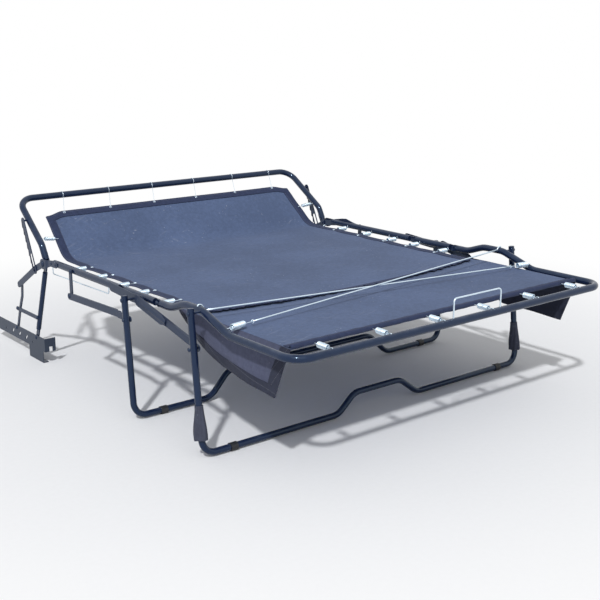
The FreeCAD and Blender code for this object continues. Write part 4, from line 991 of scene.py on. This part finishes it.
class SOFABED_OT_brackets(bpy.types.Operator):
    """Makes thin plates: pivot brackets, a ridged plate, stay and head tube ends, and ratchet teeth."""
    bl_idname = "sofabed.brackets"
    bl_label = "Brackets"
    gauge = 0.003
    bracket_run = 0.118
    bracket_reach = 0.020
    bracket_rivets = (0.066, 0.100)
    eye_reach = 0.0135
    lug_places = (0.272, 0.300, 0.346, 0.372, 0.432)
    lug_rises = (0.011, 0.015, 0.0255, 0.0225, 0.0115)
    lug_shift = 0.005
    stay_run = 0.170
    stay_half = (0.0185, 0.0110)
    teeth = 7
    tooth_root, tooth_rise = 0.0120, 0.0055
    comb_root, comb_short = 0.009, 0.014

    def execute(self, context):
        head = context.scene.sofabed_wire.rivet
        parts = [part for side in SIDES for part in self.bracket(side, head)]
        metal_piece("pivot_brackets", parts, "body_section", "link_paint")
        metal_piece("rail_lug", [self.rail_lug()], "body_section", "link_paint")
        for side in SIDES:
            settle(self.stay_plate(side), "leg_stays")
        metal_piece("head_tube_ends", [self.tube_end(side) for side in SIDES], "head_section", "frame_paint")
        parts = [self.comb(side) for side in SIDES]
        metal_piece("ratchet_teeth", parts, "ratchet_links", "link_paint", smooth=False)
        return {"FINISHED"}

    def bracket(self, side, head):
        """A strap with a round rear end over the pivot, narrowing and joggled in to lie on the body tube.

        Its half width is a circle's at the pivot and falls to the tube's; its section is a flat rounded bar.
        """
        outer = face_at("head_brace_right", *REAR[1:]) + self.gauge
        tube_face = SIDE_X + TUBE_R + self.gauge
        wide = self.bracket_reach
        along = np.concatenate([np.linspace(-0.0199, -0.006, 9),
                                np.linspace(0, self.bracket_run, 31)])[:, None]
        half = np.where(along < 0, np.sqrt(np.maximum(wide ** 2 - along ** 2, 1e-7)),
                        wide - 0.0085 * smooth_step(along / 0.06))
        half = half * (1 - 0.8 * smooth_step((along - self.bracket_run + 0.010) / 0.010))
        face = outer + (tube_face - outer) * smooth_step((along - 0.024) / 0.024)
        level = REAR[2] + (FOLD_1[2] - REAR[2]) * smooth_step(along / 0.075)
        across, up = flat_section(24)
        rings = placed(side * (face + self.gauge / 2 * (across - 1)), REAR[1] - along, level + half * up)
        spots = [(outer, REAR[1], REAR[2], head * 1.7, 0.006)]
        spots += [(tube_face, REAR[1] - run, FOLD_1[2], head * 0.7, 0.003) for run in self.bracket_rivets]
        return [capped(outward(rings, side > 0))] + [dome((side * x, y, z), side * X_AXIS, width, rise)
                                                     for x, y, z, width, rise in spots]

    def rail_lug(self):
        """A ridged plate on top of the right rail: its top rises to a peak and falls to both ends.

        A cross section is a flat rounded bar that stands in the tube.
        """
        y = np.linspace(self.lug_places[0], self.lug_places[-1], 41)[:, None]
        high = np.interp(y, self.lug_places, self.lug_rises)
        low = TUBE_R * 0.4
        across, up = flat_section(20)
        rings = placed(SIDE_X + self.lug_shift + self.gauge * 0.8 * across, y,
                       FOLD_1[2] + (high + low) / 2 + (high - low) / 2 * up)
        return capped(outward(rings, False))

    def stay_plate(self, side):
        """The wide pressed end of a leg stay: round over its pivot, then parallel, then narrowed to the stay.

        The half width is a circle's behind the pivot; a raised rib runs along the middle of its face.
        """
        low, high = limits("leg_stays")
        pivot = PIVOT["stay_swing"]
        run = unit((low + SOFABED_OT_rivets.strap_end - pivot) * IN_PLANE)
        wide, narrow = self.stay_half
        share = np.linspace(-1, 1, 25)[None, :]
        along = np.concatenate([-wide * np.cos(np.linspace(0.25, math.pi / 2, 9)),
                                np.linspace(0.004, self.stay_run, 40)])[:, None]
        half = np.where(along < 0, np.sqrt(np.maximum(wide ** 2 - along ** 2, 0)),
                        wide - (wide - narrow) * smooth_step((along - self.stay_run + 0.03) / 0.025))
        rib = self.gauge * 0.8 * np.exp(-(share / 0.3) ** 2) * smooth_step((along - 0.02) / 0.02)
        face = side * (high[0] + self.gauge / 2 + rib)
        points = moved(pivot * IN_PLANE, (face, X_AXIS), (along, run), (share * half, np.cross(X_AXIS, run)))
        return sheet_object(f"stay_plate_{SIDES[side]}", outward(points, side < 0), "satin link paint",
                            share * wide, along, self.gauge * 0.8)

    def tube_end(self, side):
        """The head tube's end: its round section is pressed a little flatter as it nears the pivot."""
        points = node_points("head_tube")
        reach = np.hypot(points[:, 1] - REAR[1], points[:, 2] - REAR[2])
        rim = points[(points[:, 0] > SIDE_X + 0.9 * TUBE_R) & (reach < 0.045)].mean(axis=0)
        start = np.linalg.norm((rim - REAR) * IN_PLANE)
        up = (rim - REAR) * IN_PLANE / start
        share, turn = np.linspace(0, 1, 13)[:, None], around(24)
        press = smooth_step(share)
        x = SIDE_X + TUBE_R * (0.72 + 0.28 * press) * np.cos(turn)
        out = TUBE_R * (0.94 + 0.06 * press) * np.sin(turn)
        along = self.eye_reach + share * (start + 0.002 - self.eye_reach)
        rings = moved(REAR * IN_PLANE, (side * x, X_AXIS), (along, up), (out, np.cross(X_AXIS, up)))
        return capped(outward(rings, side < 0))

    def comb(self, side):
        """Saw teeth along the rear edge of a ratchet link: a rising ramp that falls back at once."""
        points = node_points("ratchet_links")
        points = points[points[:, 0] > 0]
        top = PIVOT["ratchet_swing"] * IN_PLANE
        runs = points * IN_PLANE - top
        run = runs[np.argmax(np.linalg.norm(runs, axis=1))]
        rear = np.cross(unit(run), X_AXIS)
        rear = rear if rear[1] > 0 else -rear
        share = np.linspace(0, 1, self.teeth * 8 + 1)
        saw = (share * self.teeth) % 1.0
        edge = self.tooth_root + self.tooth_rise * np.where(saw < 0.75, saw / 0.75, (1 - saw) / 0.25)
        middle = moved(top, (share * (np.linalg.norm(run) - self.comb_short), unit(run)))
        root, tip = middle + self.comb_root * rear, moved(middle, (edge, rear))
        rings = np.stack([root, tip, tip, root], axis=1)
        rings[..., 0] = side * points[:, 0].min()
        rings[:, 2:, 0] = side * points[:, 0].max()
        return capped(outward(rings, side > 0))


class SOFABED_OT_leg_wraps(bpy.types.Operator):
    """Makes the cloth sleeves on the front leg, gathered at the top and open below.

    A sleeve's radius grows down the leg, with three broad folds and nine small gathers as sines of the turn.
    """
    bl_idname = "sofabed.leg_wraps"
    bl_label = "Leg wraps"
    hem = 0.004
    widest = 0.020

    def execute(self, context):
        low, high = limits("leg_wraps")
        pivot, down = leg_line("front_leg")
        drop, turn = np.linspace(0, 1, 41)[:, None], around(64)
        top = pivot * IN_PLANE + down * ((pivot[2] - high[2] + self.hem) / -down[2])
        length = (high[2] - low[2] - self.hem) / -down[2]
        flare = smooth_step(drop * 1.15)
        wide = 1 + 0.10 * flare * np.cos(2 * turn)
        gathers = 0.0010 * np.sin(9 * turn + 5 * drop) * (0.4 + drop)
        for side, tag in SIDES.items():
            folds = 0.0022 * flare * np.sin(3 * turn + 0.6 + side)
            reach = 0.0125 + 0.0075 * flare + folds + gathers
            x = side * (high[0] - self.widest) + reach * wide * np.cos(turn)
            points = moved(top, (x, X_AXIS), (drop * length, down),
                           (reach / wide * np.sin(turn), np.cross(X_AXIS, down)))
            cloth = sheet_object(f"leg_wrap_cloth_{tag}", points, "wrap cloth", turn * 0.018, drop * length,
                                 0.0012, closed=True)
            settle(cloth, "front_legs")
            if side > 0:
                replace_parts(cloth, "leg_wraps")
            steps = np.linalg.norm(np.roll(points, -1, axis=1) - points, axis=-1)
        return {"FINISHED"}


class SOFABED_OT_stage(bpy.types.Operator):
    """Sets the floor, the soft light and the camera."""
    bl_idname = "sofabed.stage"
    bl_label = "Stage"
    floor_half = 9.0
    floor_drop = 0.0005
    fade = (1.2, 2.6)
    sunlight = (0.72, 0.60, -1.0)
    panel_place = (-2.0, -2.6, 2.6)
    panel_turn = (math.radians(50), 0.0, math.radians(-36))
    camera_place = (-2.3164, -3.0544, 1.26)
    camera_turn = (math.radians(90 - 14.684), 0.0, math.radians(-38.893))

    def execute(self, context):
        scene = context.scene
        scene.view_settings.view_transform = "Standard"
        self.floor(scene)
        self.world(scene)
        self.lights(scene)
        self.camera(scene)
        return {"FINISHED"}

    def floor(self, scene):
        """A plain floor whose distance from the middle fades it into white; it keeps the shadow near by."""
        finish = Finish("plain floor")
        shade = scene.sofabed_finishes.floor
        finish.set(Base_Color=finish.noise(60.0, 4.0).mixed(rgba(shade, 0.98), rgba(shade, 1.02)),
                   Roughness=0.85, Specular_IOR_Level=0.2)
        away = finish.start.node("ShaderNodeVectorMath", {"operation": "LENGTH"}, output=1, _0=finish.place)
        faded = finish.start.node("ShaderNodeMixShader", _0=away.step(*self.fade) * self.seen(finish.start),
                                  _1=Value(finish.tree, finish.shader.outputs[0]),
                                  _2=finish.start.node("ShaderNodeEmission", Strength=1.0))
        finish.start.feed(finish.tree.nodes["Material Output"].inputs["Surface"], faded)
        reach = (-self.floor_half, self.floor_half, 9)
        along, across = lattice(reach, reach)
        points = placed(across, along, -self.floor_drop).reshape(-1, 3)
        mesh_object("floor", [(points, [grid_faces(9, 9)])], "plain floor")

    def world(self, scene):
        """White all round: at full strength where it is seen, at half where it lights the object."""
        scene.world = bpy.data.worlds.new("studio")
        scene.world.use_nodes = True
        tree = scene.world.node_tree
        background = tree.nodes["Background"]
        background.inputs["Color"].default_value = (1.0, 1.0, 1.0, 1.0)
        start = Value(tree, None)
        start.feed(background.inputs["Strength"], self.seen(start) * 0.5 + 0.5)

    def seen(self, start):
        """1 for a ray from the camera, a mirror or glass, 0 for one that lights the object."""
        camera = start.node("ShaderNodeLightPath")
        shown = camera + camera.output("Is Glossy Ray") + camera.output("Is Transmission Ray")
        return start.maths("MINIMUM", shown, 1.0)

    def lights(self, scene):
        """A high sun from the left front, as the shadows show, and a wide soft panel in front."""
        sun = self.added(scene, bpy.data.lights.new("sun", "SUN"), energy=2.2, angle=math.radians(3.0))
        sun.rotation_euler = Vector(self.sunlight).to_track_quat("-Z", "Y").to_euler()
        panel = self.added(scene, bpy.data.lights.new("panel", "AREA"), energy=18.0, size=3.0)
        panel.location, panel.rotation_euler = self.panel_place, self.panel_turn

    def added(self, scene, data, **settings):
        """A lamp or camera in the scene, with its settings."""
        for key, setting in settings.items():
            setattr(data, key, setting)
        item = bpy.data.objects.new(data.name, data)
        scene.collection.objects.link(item)
        return item

    def camera(self, scene):
        """The photograph's place and angle, worked out from the deck's corners."""
        camera = self.added(scene, bpy.data.cameras.new("camera"), lens=61.283, sensor_width=36.0)
        camera.location, camera.rotation_euler = self.camera_place, self.camera_turn
        scene.camera = camera


STEPS = (SOFABED_OT_finishes, SOFABED_OT_deck, SOFABED_OT_foot_panel, SOFABED_OT_springs, SOFABED_OT_wires,
         SOFABED_OT_rivets, SOFABED_OT_brackets, SOFABED_OT_leg_wraps, SOFABED_OT_stage)


class SOFABED_PT_panel(bpy.types.Panel):
    """Lists the steps of the sofa bed mechanism and the sizes that can be changed."""
    bl_idname = "SOFABED_PT_panel"
    bl_label = "Sofa Bed"
    bl_space_type = "VIEW_3D"
    bl_region_type = "UI"
    bl_category = "Sofa Bed"

    def draw(self, context):
        for group in GROUPS:
            values = getattr(context.scene, group)
            box = self.layout.box()
            for key in values.__annotations__:
                box.prop(values, key)
        for step in STEPS:
            self.layout.operator(step.bl_idname)


GROUPS = {"sofabed_deck": DeckSizes, "sofabed_wire": WireSizes, "sofabed_finishes": Finishes}
CLASSES = tuple(GROUPS.values()) + STEPS + (SOFABED_PT_panel,)


def register():
    """Registers the classes and hangs the property groups on the scene."""
    for item in CLASSES:
        bpy.utils.register_class(item)
    for name, group in GROUPS.items():
        setattr(bpy.types.Scene, name, bpy.props.PointerProperty(type=group))


def unregister():
    """Takes the property groups and classes away again."""
    for name in GROUPS:
        delattr(bpy.types.Scene, name)
    for item in reversed(CLASSES):
        bpy.utils.unregister_class(item)


def main():
    """Runs every step in order."""
    register()
    for step in STEPS:
        group, name = step.bl_idname.split(".")
        getattr(getattr(bpy.ops, group), name)()


if __name__ == "__main__":
    main()
